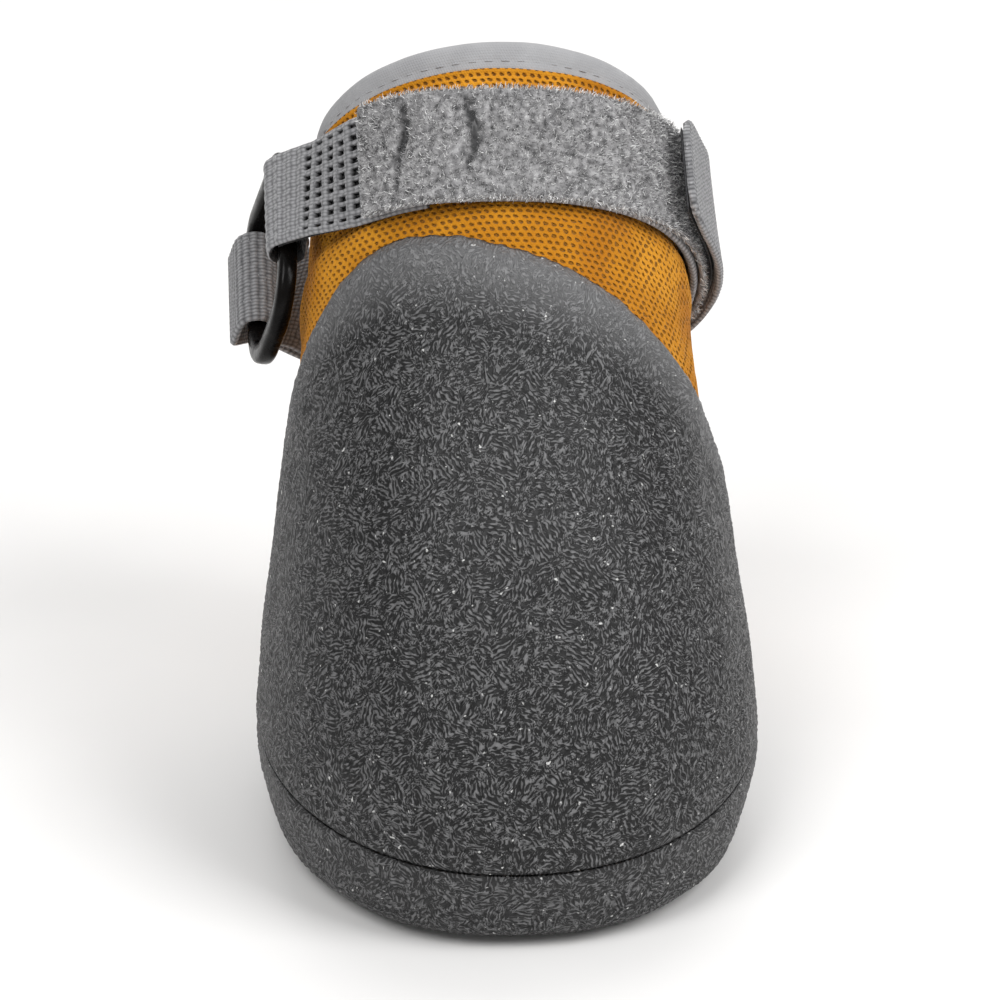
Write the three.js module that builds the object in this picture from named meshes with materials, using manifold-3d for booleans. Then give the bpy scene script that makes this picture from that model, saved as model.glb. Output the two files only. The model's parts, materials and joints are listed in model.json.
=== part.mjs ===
// A dog boot: mesh upper, rubber cup sole and toe cap, and a strap that runs through a plastic ring.
// Millimetres, +Z up. The toe points to -Y, the ring is on the -X side and the strap's free end on +X.
import * as THREE from 'three';
import Module from 'manifold-3d';

const wasm = await Module();
wasm.setup();

// Driving sizes of the last, measured on the outside of the rubber
const LENGTH = 90;
const BALL_WIDTH = 69.6;
const INSTEP_HEIGHT = 108;
const HEEL_HEIGHT = 65.6;

// Layers, from the outside in
const RUBBER_WALL = 1.2;
const FIT = 0.35;
const MESH_WALL = 1.8;
const SOLE_FLOOR = 3;
const INSOLE_THICKNESS = 2;
const INSOLE_MARGIN = 0.3;

// Tread under the sole
const ARCH_SPAN = 30;
const ARCH_DEPTH = 0.8;
const ARCH_CENTRE = 46;
const GROOVE_WIDTH = 2;
const GROOVE_DEPTH = 1;
const GROOVE_PITCH = 7;
const FOREFOOT_GROOVES = 3;
const FOREFOOT_CENTRE = 22;
const HEEL_GROOVES = 2;
const HEEL_CENTRE = 70;

// Collar binding
const CUFF_RISE = 4.4;
const CUFF_TURN_IN = 6;
const CUFF_INSET = 0.4;
const CUFF_LINING = 1.2;

// Strap layers, each lying on the one below
const STRAP_WIDTH = 15.8;
const STRAP_CLEARANCE = 0.5;
const WEBBING = 1.1;
const ELASTIC = 1;
const PILE = 0.9;
const HOOK = 0.7;
const TAB_START = 76;
const TAB_LENGTH = 14;
const TAB_LEAN = 3 * Math.PI / 180;
const HOOK_MARGIN = 1;
const HOOK_MARKS = 4;

// Ring: a flat link with a bar at each side of its window. Its lower end is the rounder one, and it
// hangs a little below the middle of the strap.
const RING_ALONG = 21;
const RING_ACROSS = 28.5;
const RING_DROP = 2.65;
const RING_BAR = 2.8;
const RING_END = 3.2;
const RING_THICKNESS = 2.6;
const RING_TOP_CORNER = 5;
const RING_LOW_CORNER = 8.5;
const WINDOW_TOP_CORNER = 2;
const WINDOW_LOW_CORNER = 5.5;
const RING_SEAT = -98;
const RING_STAND_OFF = 5.5;
const RING_TURN_OUT = 0.24;
const RING_HANG = 60 * Math.PI / 180;
const BAR_CLEARANCE = 0.6;

// How finely the curved walls are divided: columns round the boot, rows up each wall and the length of
// one step along a strap
const AROUND = 54;
const SOLE_ROWS = 7;
const SOLE_INNER_ROWS = 3;
const UPPER_ROWS = 13;
const UPPER_INNER_ROWS = 11;
const CAP_ROWS = 10;
const CAP_INNER_ROWS = 8;
const STRAP_STEP = 3.2;

// Small bevels on the rubber's upper edge and on the ring
const EDGE_BEVEL = 0.5;

// Each row is one section of the last: a plane from a point on the front line to a point on the back
// line. Lengths are shares of LENGTH, heights are shares of INSTEP_HEIGHT in front and HEEL_HEIGHT
// behind, width is a share of half of BALL_WIDTH, square is the oval's exponent and forward moves
// its fullest place to the toe. The last row lies over the collar and only gives the walls their
// direction there.
const SECTIONS = [
  { frontIn: 0.078, frontUp: 0.000, backIn: 0.878, backUp: 0.000, width: 0.761, square: 2.25, forward: 0.05 },
  { frontIn: 0.024, frontUp: 0.031, backIn: 0.936, backUp: 0.052, width: 0.908, square: 2.20, forward: 0.05 },
  { frontIn: 0.003, frontUp: 0.088, backIn: 0.973, backUp: 0.145, width: 0.980, square: 2.15, forward: 0.05 },
  { frontIn: -.004, frontUp: 0.167, backIn: 0.991, backUp: 0.244, width: 1.000, square: 2.12, forward: 0.05 },
  { frontIn: 0.018, frontUp: 0.259, backIn: 0.998, backUp: 0.297, width: 0.983, square: 2.10, forward: 0.05 },
  { frontIn: 0.061, frontUp: 0.352, backIn: 1.002, backUp: 0.351, width: 0.957, square: 2.08, forward: 0.04 },
  { frontIn: 0.133, frontUp: 0.463, backIn: 1.008, backUp: 0.419, width: 0.917, square: 2.06, forward: 0.04 },
  { frontIn: 0.222, frontUp: 0.565, backIn: 1.016, backUp: 0.488, width: 0.879, square: 2.04, forward: 0.03 },
  { frontIn: 0.333, frontUp: 0.662, backIn: 1.024, backUp: 0.561, width: 0.848, square: 2.02, forward: 0.02 },
  { frontIn: 0.456, frontUp: 0.756, backIn: 1.033, backUp: 0.634, width: 0.828, square: 2.00, forward: 0.01 },
  { frontIn: 0.573, frontUp: 0.857, backIn: 1.044, backUp: 0.716, width: 0.810, square: 2.00, forward: 0.00 },
  { frontIn: 0.651, frontUp: 0.931, backIn: 1.062, backUp: 0.831, width: 0.787, square: 2.00, forward: 0.00 },
  { frontIn: 0.720, frontUp: 1.000, backIn: 1.084, backUp: 1.000, width: 0.764, square: 2.00, forward: 0.00 },
  { frontIn: 0.789, frontUp: 1.069, backIn: 1.106, backUp: 1.169, width: 0.741, square: 2.00, forward: 0.00 },
];
const TOP = SECTIONS.length - 1;

// Levels are counted in sections up from the ground
const MESH_TOP = 11.56;
const SEAM_LEVEL = 2.4;
const SEAM_RISE = 0.4;

// The rubber's upper edge is a wave round the boot: its mean level and the size of each swing in step
// with the cosine and sine of a multiple of the angle, 0 at the toe and positive to +X. It peaks a
// little to the ring side.
const RUBBER_MEAN = 6.97;
const RUBBER_SWINGS = [
  { multiple: 1, cosine: 2.88, sine: -0.43 },
  { multiple: 2, cosine: -0.41, sine: -0.10 },
  { multiple: 3, cosine: -0.07, sine: 0.03 },
];

// The middle line of the strap dips at the front and the back
const STRAP_MEAN = 10.5;
const STRAP_DIP = 0.11;

const radians = THREE.MathUtils.degToRad;

// Catmull-Rom blend of four values
function blend(before, start, end, after, share) {
  const square = share * share;
  const cube = square * share;
  const straight = (end - before) * share;
  const bend = (2 * before - 5 * start + 4 * end - after) * square;
  const twist = (3 * start - before - 3 * end + after) * cube;
  return start + 0.5 * (straight + bend + twist);
}

function sectionAt(level) {
  const held = Math.min(Math.max(level, 0), TOP - 1e-9);
  const index = Math.floor(held);
  const share = held - index;
  const start = SECTIONS[index];
  const end = SECTIONS[index + 1];
  const mixed = {};
  for (const column of Object.keys(start)) {
    const before = index > 0 ? SECTIONS[index - 1][column] : 2 * start[column] - end[column];
    const after = index + 2 <= TOP ? SECTIONS[index + 2][column] : 2 * end[column] - start[column];
    mixed[column] = blend(before, start[column], end[column], after, share);
  }
  return mixed;
}

// A point on the rubber's outside surface
function surfacePoint(level, angle) {
  const section = sectionAt(level);
  const power = 2 / section.square;
  const cosine = Math.cos(angle);
  const sine = Math.sin(angle);
  const along = Math.sign(cosine) * Math.abs(cosine) ** power;
  const aside = Math.sign(sine) * Math.abs(sine) ** power;
  const frontY = section.frontIn * LENGTH;
  const frontZ = section.frontUp * INSTEP_HEIGHT;
  const backY = section.backIn * LENGTH;
  const backZ = section.backUp * HEEL_HEIGHT;
  const x = section.width * BALL_WIDTH / 2 * aside * (1 + section.forward * cosine);
  const y = (frontY + backY) / 2 - (backY - frontY) / 2 * along;
  const z = (frontZ + backZ) / 2 - (backZ - frontZ) / 2 * along;
  return new THREE.Vector3(x, y, z);
}

function surfaceNormal(level, angle) {
  const step = 1e-3;
  const below = surfacePoint(Math.max(level - step, 0), angle);
  const above = surfacePoint(Math.min(level + step, TOP), angle);
  const climb = above.sub(below);
  const around = surfacePoint(level, angle + step).sub(surfacePoint(level, angle - step));
  return around.cross(climb).normalize();
}

// A point at a depth under the rubber's outside surface
function layerPoint(level, angle, depth) {
  return surfacePoint(level, angle).addScaledVector(surfaceNormal(level, angle), -depth);
}

// The level that lies a distance in millimetres above another, along the surface
function climbFrom(level, angle, distance) {
  const step = 0.01;
  const low = Math.min(level, TOP - step);
  const speed = surfacePoint(low, angle).distanceTo(surfacePoint(low + step, angle)) / step;
  return level + distance / speed;
}

// The level at which a layer passes a height above the ground
function levelAtHeight(height, angle, depth) {
  let low = 0;
  let high = 3;
  for (let pass = 0; pass < 40; pass += 1) {
    const middle = (low + high) / 2;
    if (layerPoint(middle, angle, depth).z < height) low = middle;
    else high = middle;
  }
  return (low + high) / 2;
}

// A ring of points round the boot
function ring(levelOf, depth) {
  return Array.from({ length: AROUND }, (_, index) => {
    const angle = index / AROUND * 2 * Math.PI;
    return layerPoint(levelOf(angle), angle, depth);
  });
}

// Rings between two level lines at one depth
function rings(count, lowOf, highOf, depth) {
  return Array.from({ length: count + 1 }, (_, index) => {
    const share = index / count;
    return ring((angle) => THREE.MathUtils.lerp(lowOf(angle), highOf(angle), share), depth);
  });
}

function volumeOf(points, triangles) {
  return triangles.reduce((sum, [a, b, c]) => {
    const cross = new THREE.Vector3().crossVectors(points[b], points[c]);
    return sum + points[a].dot(cross) / 6;
  }, 0);
}

// Geometry from points and triangles, with its faces turned out
function geometryFrom(points, triangles) {
  const outward = volumeOf(points, triangles) > 0;
  const index = triangles.flatMap(([a, b, c]) => (outward ? [a, b, c] : [a, c, b]));
  const geometry = new THREE.BufferGeometry();
  const position = new Float32Array(points.flatMap((point) => point.toArray()));
  geometry.setAttribute('position', new THREE.BufferAttribute(position, 3));
  geometry.setIndex(index);
  return geometry;
}

// A quad as two triangles, split along its shorter diagonal, so that layers that face each other
// split alike
function splitQuad(points, [a, b, c, d]) {
  const isFirstShorter = points[a].distanceTo(points[c]) <= points[b].distanceTo(points[d]);
  return isFirstShorter ? [[a, b, c], [a, c, d]] : [[a, b, d], [b, c, d]];
}

// Skin over a stack of equal closed rings. A tube joins its last ring to its first, and anything else
// is closed by a fan at each end.
function skin(stack, isTube) {
  const size = stack[0].length;
  const points = stack.flat();
  const triangles = [];
  const spans = isTube ? stack.length : stack.length - 1;
  for (let row = 0; row < spans; row += 1) {
    const low = row * size;
    const high = (row + 1) % stack.length * size;
    for (let column = 0; column < size; column += 1) {
      const next = (column + 1) % size;
      const corners = [low + column, low + next, high + next, high + column];
      triangles.push(...splitQuad(points, corners));
    }
  }
  if (!isTube) {
    for (const [row, flip] of [[0, true], [stack.length - 1, false]]) {
      const centre = new THREE.Vector3();
      stack[row].forEach((point) => centre.addScaledVector(point, 1 / size));
      points.push(centre);
      const hub = points.length - 1;
      for (let column = 0; column < size; column += 1) {
        const here = row * size + column;
        const next = row * size + (column + 1) % size;
        triangles.push(flip ? [hub, next, here] : [hub, here, next]);
      }
    }
  }
  return geometryFrom(points, triangles);
}

function toSolid(geometry) {
  const vertProperties = geometry.attributes.position.array;
  const triVerts = new Uint32Array(geometry.index.array);
  return new wasm.Manifold(new wasm.Mesh({ numProp: 3, vertProperties, triVerts }));
}

function toGeometry(solid) {
  const mesh = solid.getMesh();
  const geometry = new THREE.BufferGeometry();
  geometry.setAttribute('position', new THREE.BufferAttribute(mesh.vertProperties, 3));
  geometry.setIndex(new THREE.BufferAttribute(mesh.triVerts, 1));
  return geometry;
}

function fabric(color, roughness) {
  return new THREE.MeshStandardMaterial({ color, roughness, metalness: 0, side: THREE.DoubleSide });
}

function piece(name, geometry, material) {
  geometry.computeVertexNormals();
  const mesh = new THREE.Mesh(geometry, material);
  mesh.name = name;
  return mesh;
}

const seamLevel = (angle) => SEAM_LEVEL + SEAM_RISE * Math.sin(angle) ** 2;
const strapLevel = (angle) => STRAP_MEAN - STRAP_DIP * Math.cos(2 * angle);

function rubberEdge(angle) {
  return RUBBER_SWINGS.reduce((level, { multiple, cosine, sine }) => {
    return level + cosine * Math.cos(multiple * angle) + sine * Math.sin(multiple * angle);
  }, RUBBER_MEAN);
}

// Depths of the faces of each layer
const MESH_OUTSIDE = RUBBER_WALL + FIT;
const MESH_INSIDE = MESH_OUTSIDE + MESH_WALL;
const LINING_OUTSIDE = MESH_INSIDE + FIT;

// A bar across the tread, cut out of the sole's underside
function treadCut(centreY, width, depth) {
  const bar = new THREE.BoxGeometry(BALL_WIDTH, width, 2 * depth);
  bar.translate(0, centreY, 0);
  return bar;
}

// A wide drum whose lowest chord is the hollow of the arch
function archCut() {
  const radius = (ARCH_SPAN ** 2 / 4 + ARCH_DEPTH ** 2) / (2 * ARCH_DEPTH);
  const drum = new THREE.CylinderGeometry(radius, radius, BALL_WIDTH, 240);
  drum.rotateZ(Math.PI / 2);
  drum.translate(0, ARCH_CENTRE, ARCH_DEPTH - radius);
  return drum;
}

// A bare indexed copy with its shared corners merged
function welded(geometry) {
  const source = geometry.index ? geometry.toNonIndexed() : geometry;
  const array = source.attributes.position.array;
  const points = [];
  const lookup = new Map();
  const order = [];
  for (let at = 0; at < array.length; at += 3) {
    const key = [array[at], array[at + 1], array[at + 2]].map((value) => value.toFixed(4)).join();
    if (!lookup.has(key)) {
      lookup.set(key, points.length);
      points.push(new THREE.Vector3(array[at], array[at + 1], array[at + 2]));
    }
    order.push(lookup.get(key));
  }
  const triangles = [];
  for (let at = 0; at < order.length; at += 3) {
    const [a, b, c] = order.slice(at, at + 3);
    if (a !== b && b !== c && c !== a) triangles.push([a, b, c]);
  }
  return geometryFrom(points, triangles);
}

function makeSole() {
  const floorLevel = (angle) => levelAtHeight(SOLE_FLOOR, angle, RUBBER_WALL);
  const outside = rings(SOLE_ROWS, () => 0, seamLevel, 0);
  const inside = rings(SOLE_INNER_ROWS, seamLevel, floorLevel, RUBBER_WALL);
  let solid = toSolid(skin([...outside, ...inside], false));
  solid = solid.subtract(toSolid(welded(archCut())));
  for (const [count, centre] of [[FOREFOOT_GROOVES, FOREFOOT_CENTRE], [HEEL_GROOVES, HEEL_CENTRE]]) {
    for (let index = 0; index < count; index += 1) {
      const y = centre + (index - (count - 1) / 2) * GROOVE_PITCH;
      solid = solid.subtract(toSolid(welded(treadCut(y, GROOVE_WIDTH, GROOVE_DEPTH))));
    }
  }
  return piece('sole', toGeometry(solid), fabric(0x454547, 0.9));
}

function makeInsole() {
  const depth = LINING_OUTSIDE + INSOLE_MARGIN;
  const low = (angle) => levelAtHeight(SOLE_FLOOR + FIT, angle, depth);
  const high = (angle) => levelAtHeight(SOLE_FLOOR + FIT + INSOLE_THICKNESS, angle, depth);
  return piece('insole', skin(rings(1, low, high, depth), false), fabric(0x2c2c2e, 0.95));
}

function makeUpper() {
  const bottomAt = (depth) => (angle) => levelAtHeight(SOLE_FLOOR + FIT, angle, depth);
  const top = () => MESH_TOP;
  const outside = rings(UPPER_ROWS, bottomAt(MESH_OUTSIDE), top, MESH_OUTSIDE);
  const inside = rings(UPPER_INNER_ROWS, top, bottomAt(MESH_INSIDE), MESH_INSIDE);
  return piece('upper', skin([...outside, ...inside], true), fabric(0xc98a2b, 0.95));
}

function makeToeCap() {
  const low = (angle) => climbFrom(seamLevel(angle), angle, FIT);
  const shoulder = (angle) => climbFrom(rubberEdge(angle), angle, -EDGE_BEVEL);
  const outside = rings(CAP_ROWS, low, shoulder, 0);
  const edge = [ring(rubberEdge, EDGE_BEVEL)];
  const inside = rings(CAP_INNER_ROWS, rubberEdge, low, RUBBER_WALL);
  return piece('toe_cap', skin([...outside, ...edge, ...inside], true), fabric(0x565658, 0.9));
}

// The binding's cross-section: how far each corner is above the mesh's edge, and how deep. It starts
// at the foot of the visible band, rounds over the top and turns down inside the mesh.
function makeCollarBinding() {
  const face = MESH_OUTSIDE + CUFF_INSET;
  const lining = LINING_OUTSIDE + CUFF_LINING;
  const middle = (face + lining) / 2;
  const profile = [
    { up: FIT, depth: face },
    { up: CUFF_RISE * 0.75, depth: face },
    { up: CUFF_RISE * 0.94, depth: (face + middle) / 2 },
    { up: CUFF_RISE, depth: middle },
    { up: CUFF_RISE * 0.94, depth: (lining + middle) / 2 },
    { up: CUFF_RISE * 0.7, depth: lining },
    { up: -CUFF_TURN_IN / 2, depth: lining },
    { up: -CUFF_TURN_IN, depth: lining },
    { up: -CUFF_TURN_IN, depth: LINING_OUTSIDE },
    { up: FIT, depth: LINING_OUTSIDE },
  ];
  const stack = profile.map(({ up, depth }) => {
    return ring((angle) => climbFrom(MESH_TOP, angle, up), depth);
  });
  return piece('collar_binding', skin(stack, true), fabric(0xa5a5a6, 0.8));
}

// One place along a strap: where its middle is, which way its outer face looks, and which way is
// across its width. wide is the share of the full width there, and mark counts the places given.
function station(at, out, across, wide = 1, mark = 0) {
  return { at, out, across, wide, mark };
}

// A station on the boot, at a height over the mesh
function onBoot(degrees, height) {
  const angle = radians(degrees);
  const step = 0.01;
  const at = layerPoint(strapLevel(angle), angle, MESH_OUTSIDE - height);
  const before = surfacePoint(strapLevel(angle - step), angle - step);
  const along = surfacePoint(strapLevel(angle + step), angle + step).sub(before).normalize();
  const out = surfaceNormal(strapLevel(angle), angle);
  const across = new THREE.Vector3().crossVectors(out, along).normalize();
  return station(at, out, across);
}

// The frame of the ring: along goes from its front bar to its rear bar, across is its width, up the
// boot, and out looks away from the boot.
const ringFrame = (() => {
  const seat = onBoot(RING_SEAT, 0);
  const cosine = Math.cos(RING_HANG);
  const sine = Math.sin(RING_HANG);
  const along = new THREE.Vector3(-RING_TURN_OUT, cosine, -sine).normalize();
  const across = new THREE.Vector3(0, sine, cosine);
  const out = new THREE.Vector3().crossVectors(across, along).normalize();
  const centre = seat.at.clone().addScaledVector(out, RING_STAND_OFF);
  return { centre, along, across, out };
})();
const BAR_REACH = (RING_ALONG - RING_BAR) / 2;
const EDGE_ON_BAR = RING_BAR / 2 + BAR_CLEARANCE;

// A station in the ring's frame, counted from the middle of a bar
function byRing(side, alongBy, outBy, facing) {
  const at = ringFrame.centre.clone();
  at.addScaledVector(ringFrame.along, side * BAR_REACH + alongBy);
  at.addScaledVector(ringFrame.out, outBy);
  return station(at, facing, ringFrame.across);
}

// A station on the fold round a bar. turn is 0 at the bar's outermost side and 90 degrees behind it.
function roundBar(side, degrees, thickness, sign) {
  const turn = radians(degrees);
  const radius = EDGE_ON_BAR + thickness / 2;
  const facing = ringFrame.out.clone().multiplyScalar(Math.cos(turn));
  facing.addScaledVector(ringFrame.along, Math.sin(turn));
  const spot = byRing(side, radius * Math.sin(turn), radius * Math.cos(turn), facing);
  spot.out = facing.clone().multiplyScalar(sign);
  return spot;
}

// Stations at even steps on a smooth line through the given ones
function smoothRun(marks) {
  const curve = new THREE.CatmullRomCurve3(marks.map((mark) => mark.at), false, 'centripetal');
  const run = [];
  for (let index = 0; index < marks.length - 1; index += 1) {
    const start = marks[index];
    const end = marks[index + 1];
    const steps = Math.max(1, Math.round(start.at.distanceTo(end.at) / STRAP_STEP));
    for (let step = 0; step < steps; step += 1) {
      const share = step / steps;
      const at = curve.getPoint((index + share) / (marks.length - 1));
      const out = start.out.clone().lerp(end.out, share).normalize();
      const across = start.across.clone().lerp(end.across, share);
      const wide = THREE.MathUtils.lerp(start.wide, end.wide, share);
      run.push(station(at, out, across, wide, index + share));
    }
  }
  run.push({ ...marks[marks.length - 1], mark: marks.length - 1 });
  return run;
}

// The same run moved outwards by a height
function liftedRun(run, height) {
  return run.map((spot) => ({ ...spot, at: spot.at.clone().addScaledVector(spot.out, height) }));
}

// A flat strap with chamfered edges along a run of stations
function strap(run, thickness, width = STRAP_WIDTH) {
  const chamfer = thickness * 0.3;
  const stack = run.map(({ at, out, across, wide }) => {
    const side = across.clone().addScaledVector(out, -across.dot(out)).normalize();
    const half = width / 2 * wide;
    const corners = [
      [half, thickness / 2 - chamfer],
      [half - chamfer, thickness / 2],
      [chamfer - half, thickness / 2],
      [-half, thickness / 2 - chamfer],
      [-half, chamfer - thickness / 2],
      [chamfer - half, -thickness / 2],
      [half - chamfer, -thickness / 2],
      [half, chamfer - thickness / 2],
    ];
    return corners.map(([aside, lift]) => {
      return at.clone().addScaledVector(side, aside).addScaledVector(out, lift);
    });
  });
  return skin(stack, false);
}

// Heights over the mesh of the middle of each strap layer
const ELASTIC_LIES = STRAP_CLEARANCE + ELASTIC / 2;
const FIRST_PASS = STRAP_CLEARANCE + WEBBING / 2;
const OVER_ELASTIC = STRAP_CLEARANCE + ELASTIC + FIT + WEBBING / 2;
const PILE_OVER = WEBBING / 2 + FIT + PILE / 2;
const RETURN_OVER = WEBBING + FIT + PILE + FIT + HOOK + FIT;
const HOOK_UNDER = WEBBING / 2 + FIT + HOOK / 2;
const STEP_DOWN = 0.4;

// The first pass: where it lies round the boot, by degrees, over its clearance. The slack behind the
// ring stands off the boot, by shares of the ring's own distance.
const PASS_FRONT = [
  { degrees: -39, height: OVER_ELASTIC },
  { degrees: -30, height: OVER_ELASTIC },
  { degrees: -20, height: OVER_ELASTIC },
  { degrees: -8, height: FIRST_PASS + STEP_DOWN },
  { degrees: 5, height: FIRST_PASS },
  { degrees: 20, height: FIRST_PASS },
  { degrees: 40, height: FIRST_PASS },
  { degrees: 60, height: FIRST_PASS },
  { degrees: 80, height: FIRST_PASS },
  { degrees: 100, height: FIRST_PASS },
  { degrees: 120, height: FIRST_PASS },
  { degrees: 140, height: FIRST_PASS },
  { degrees: 160, height: FIRST_PASS },
  { degrees: 178, height: FIRST_PASS + STEP_DOWN },
];
const PASS_SLACK = [
  { degrees: 194, height: 0.40 * RING_STAND_OFF },
  { degrees: 208, height: 0.73 * RING_STAND_OFF },
  { degrees: 221, height: 1.13 * RING_STAND_OFF },
  { degrees: 234, height: 1.38 * RING_STAND_OFF },
];

// The elastic lies on the mesh at its sewn end, then runs straight to the ring, at this slope to it
const ELASTIC_ON_BOOT = [
  { degrees: -22, height: ELASTIC_LIES },
  { degrees: -31, height: ELASTIC_LIES },
  { degrees: -39, height: ELASTIC_LIES },
  { degrees: -46, height: ELASTIC_LIES + STEP_DOWN },
];
const ELASTIC_SLOPE = 30;
// Length of the straight, sewn-down ends behind the folds
const FOLD_END = 4;

function elasticRun() {
  const inward = ringFrame.out.clone().negate();
  const marks = ELASTIC_ON_BOOT.map(({ degrees, height }) => onBoot(degrees, height));
  const leaves = marks[marks.length - 1];
  const meets = roundBar(-1, -ELASTIC_SLOPE, ELASTIC, 1);
  const across = leaves.across.clone().lerp(meets.across, 0.5).normalize();
  const halfway = leaves.at.clone().lerp(meets.at, 0.5);
  marks.push(station(halfway, meets.out, across));
  for (let turn = -ELASTIC_SLOPE; turn <= 190; turn += 20) {
    marks.push(roundBar(-1, turn, ELASTIC, 1));
  }
  marks.push(byRing(-1, -0.75 * FOLD_END, -EDGE_ON_BAR, inward));
  return smoothRun(marks);
}

function firstRun() {
  const off = EDGE_ON_BAR + WEBBING / 2;
  const inward = ringFrame.out.clone().negate();
  const pass = [...PASS_FRONT, ...PASS_SLACK];
  const marks = pass.map(({ degrees, height }) => onBoot(degrees, height));
  marks.push(byRing(1, FOLD_END, -off, ringFrame.out));
  for (let turn = 180; turn <= 360; turn += 20) marks.push(roundBar(1, turn, WEBBING, -1));
  marks.push(byRing(1, FOLD_END, off, inward));
  return smoothRun(marks);
}

// The second pass, from the ring round the back to the free end, seen from outside
function returnMarks() {
  const off = EDGE_ON_BAR + WEBBING / 2;
  const marks = [byRing(1, FOLD_END, off, ringFrame.out)];
  [...PASS_SLACK].reverse().forEach(({ degrees, height }) => {
    marks.push(onBoot(degrees, height + RETURN_OVER));
  });
  const height = FIRST_PASS + RETURN_OVER;
  [178, 160, 142, 125, 108, 92, TAB_START].forEach((degrees) => {
    marks.push(onBoot(degrees, height));
  });
  return marks;
}

// The tab runs on straight from the last place on the boot, and its end is rounded
function tabMarks() {
  const last = onBoot(TAB_START, FIRST_PASS + RETURN_OVER);
  const forward = new THREE.Vector3().crossVectors(last.out, last.across).normalize();
  forward.applyAxisAngle(last.across, -TAB_LEAN);
  const shares = [
    { share: 0.3, wide: 1 },
    { share: 0.6, wide: 1 },
    { share: 0.85, wide: 0.98 },
    { share: 0.94, wide: 0.88 },
    { share: 1, wide: 0.66 },
  ];
  return shares.map(({ share, wide }) => {
    const at = last.at.clone().addScaledVector(forward, share * TAB_LENGTH);
    return station(at, last.out, last.across, wide);
  });
}

function returnRun() {
  return smoothRun([...returnMarks(), ...tabMarks()]);
}

function makeElastic() {
  return piece('strap_elastic', strap(elasticRun(), ELASTIC), fabric(0x5a5a5c, 0.9));
}

// The webbing is one strap: its first pass, the fold round the ring's rear bar and the second pass,
// on which the outer face of the first looks in
function makeLongStrap() {
  const second = returnRun().map((spot) => ({ ...spot, out: spot.out.clone().negate() }));
  const whole = [...firstRun().slice(0, -1), ...second];
  return piece('strap_long', strap(whole, WEBBING), fabric(0x87878a, 0.9));
}

// The pile covers the first pass up to the place where the strap leaves the boot
function makeLoopStrip() {
  const covered = firstRun().filter(({ mark }) => mark <= PASS_FRONT.length);
  return piece('loop_strip', strap(liftedRun(covered, PILE_OVER), PILE), fabric(0x82808a, 1));
}

// The hooks line the second pass over its last stretch, and stop short of the rounded end
function makeHookPad() {
  const start = returnMarks().length - HOOK_MARKS;
  const end = returnMarks().length + 2;
  const lined = returnRun().filter(({ mark }) => mark >= start && mark <= end);
  const width = STRAP_WIDTH - 2 * HOOK_MARGIN;
  return piece('hook_pad', strap(liftedRun(lined, -HOOK_UNDER), HOOK, width), fabric(0x2a2a2c, 1));
}

// A rectangle with one radius for its two upper corners and another for its two lower ones
function roundedOutline(path, width, height, topCorner, lowCorner) {
  const right = width / 2;
  const top = height / 2;
  path.moveTo(-right + lowCorner, -top);
  path.lineTo(right - lowCorner, -top);
  path.absarc(right - lowCorner, -top + lowCorner, lowCorner, -Math.PI / 2, 0);
  path.lineTo(right, top - topCorner);
  path.absarc(right - topCorner, top - topCorner, topCorner, 0, Math.PI / 2);
  path.lineTo(-right + topCorner, top);
  path.absarc(-right + topCorner, top - topCorner, topCorner, Math.PI / 2, Math.PI);
  path.lineTo(-right, -top + lowCorner);
  path.absarc(-right + lowCorner, -top + lowCorner, lowCorner, Math.PI, 1.5 * Math.PI);
  return path;
}

function makeRing() {
  const bevel = EDGE_BEVEL;
  const along = RING_ALONG - 2 * bevel;
  const across = RING_ACROSS - 2 * bevel;
  const outline = new THREE.Shape();
  roundedOutline(outline, along, across, RING_TOP_CORNER, RING_LOW_CORNER);
  const windowAlong = RING_ALONG - 2 * RING_BAR + 2 * bevel;
  const windowAcross = RING_ACROSS - 2 * RING_END + 2 * bevel;
  const window = new THREE.Path();
  roundedOutline(window, windowAlong, windowAcross, WINDOW_TOP_CORNER, WINDOW_LOW_CORNER);
  outline.holes.push(window);
  const geometry = new THREE.ExtrudeGeometry(outline, {
    depth: RING_THICKNESS - 2 * bevel,
    bevelThickness: bevel,
    bevelSize: bevel,
    bevelSegments: 1,
    curveSegments: 6,
  });
  geometry.translate(0, -RING_DROP, bevel - RING_THICKNESS / 2);
  const inward = ringFrame.out.clone().negate();
  geometry.applyMatrix4(new THREE.Matrix4().makeBasis(ringFrame.along, ringFrame.across, inward));
  const material = new THREE.MeshStandardMaterial({ color: 0x1c1a1a, roughness: 0.25, metalness: 0 });
  const mesh = piece('ring', welded(geometry), material);
  mesh.position.copy(ringFrame.centre);
  return mesh;
}

const boot = new THREE.Group();
boot.add(makeSole(), makeInsole(), makeUpper(), makeToeCap(), makeCollarBinding());
boot.add(makeElastic(), makeLongStrap(), makeLoopStrip(), makeHookPad(), makeRing());

// The origin is on the ground under the middle of the whole boot
boot.updateMatrixWorld(true);
const middle = new THREE.Box3().setFromObject(boot, true).getCenter(new THREE.Vector3());
boot.position.set(-middle.x, -middle.y, 0);

export default boot;
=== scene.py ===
"""A dog boot, dressed for its picture: crinkled rubber, air mesh, plush strap and plastic ring.

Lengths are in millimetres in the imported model's frame, and turn to metres when a mesh is made.
The toe points to -Y and the ring hangs on the -X side.
"""

import json
import logging
import math
from dataclasses import dataclass, field
from enum import Enum
from typing import Callable

import bpy
import numpy as np
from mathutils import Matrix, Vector, noise

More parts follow.
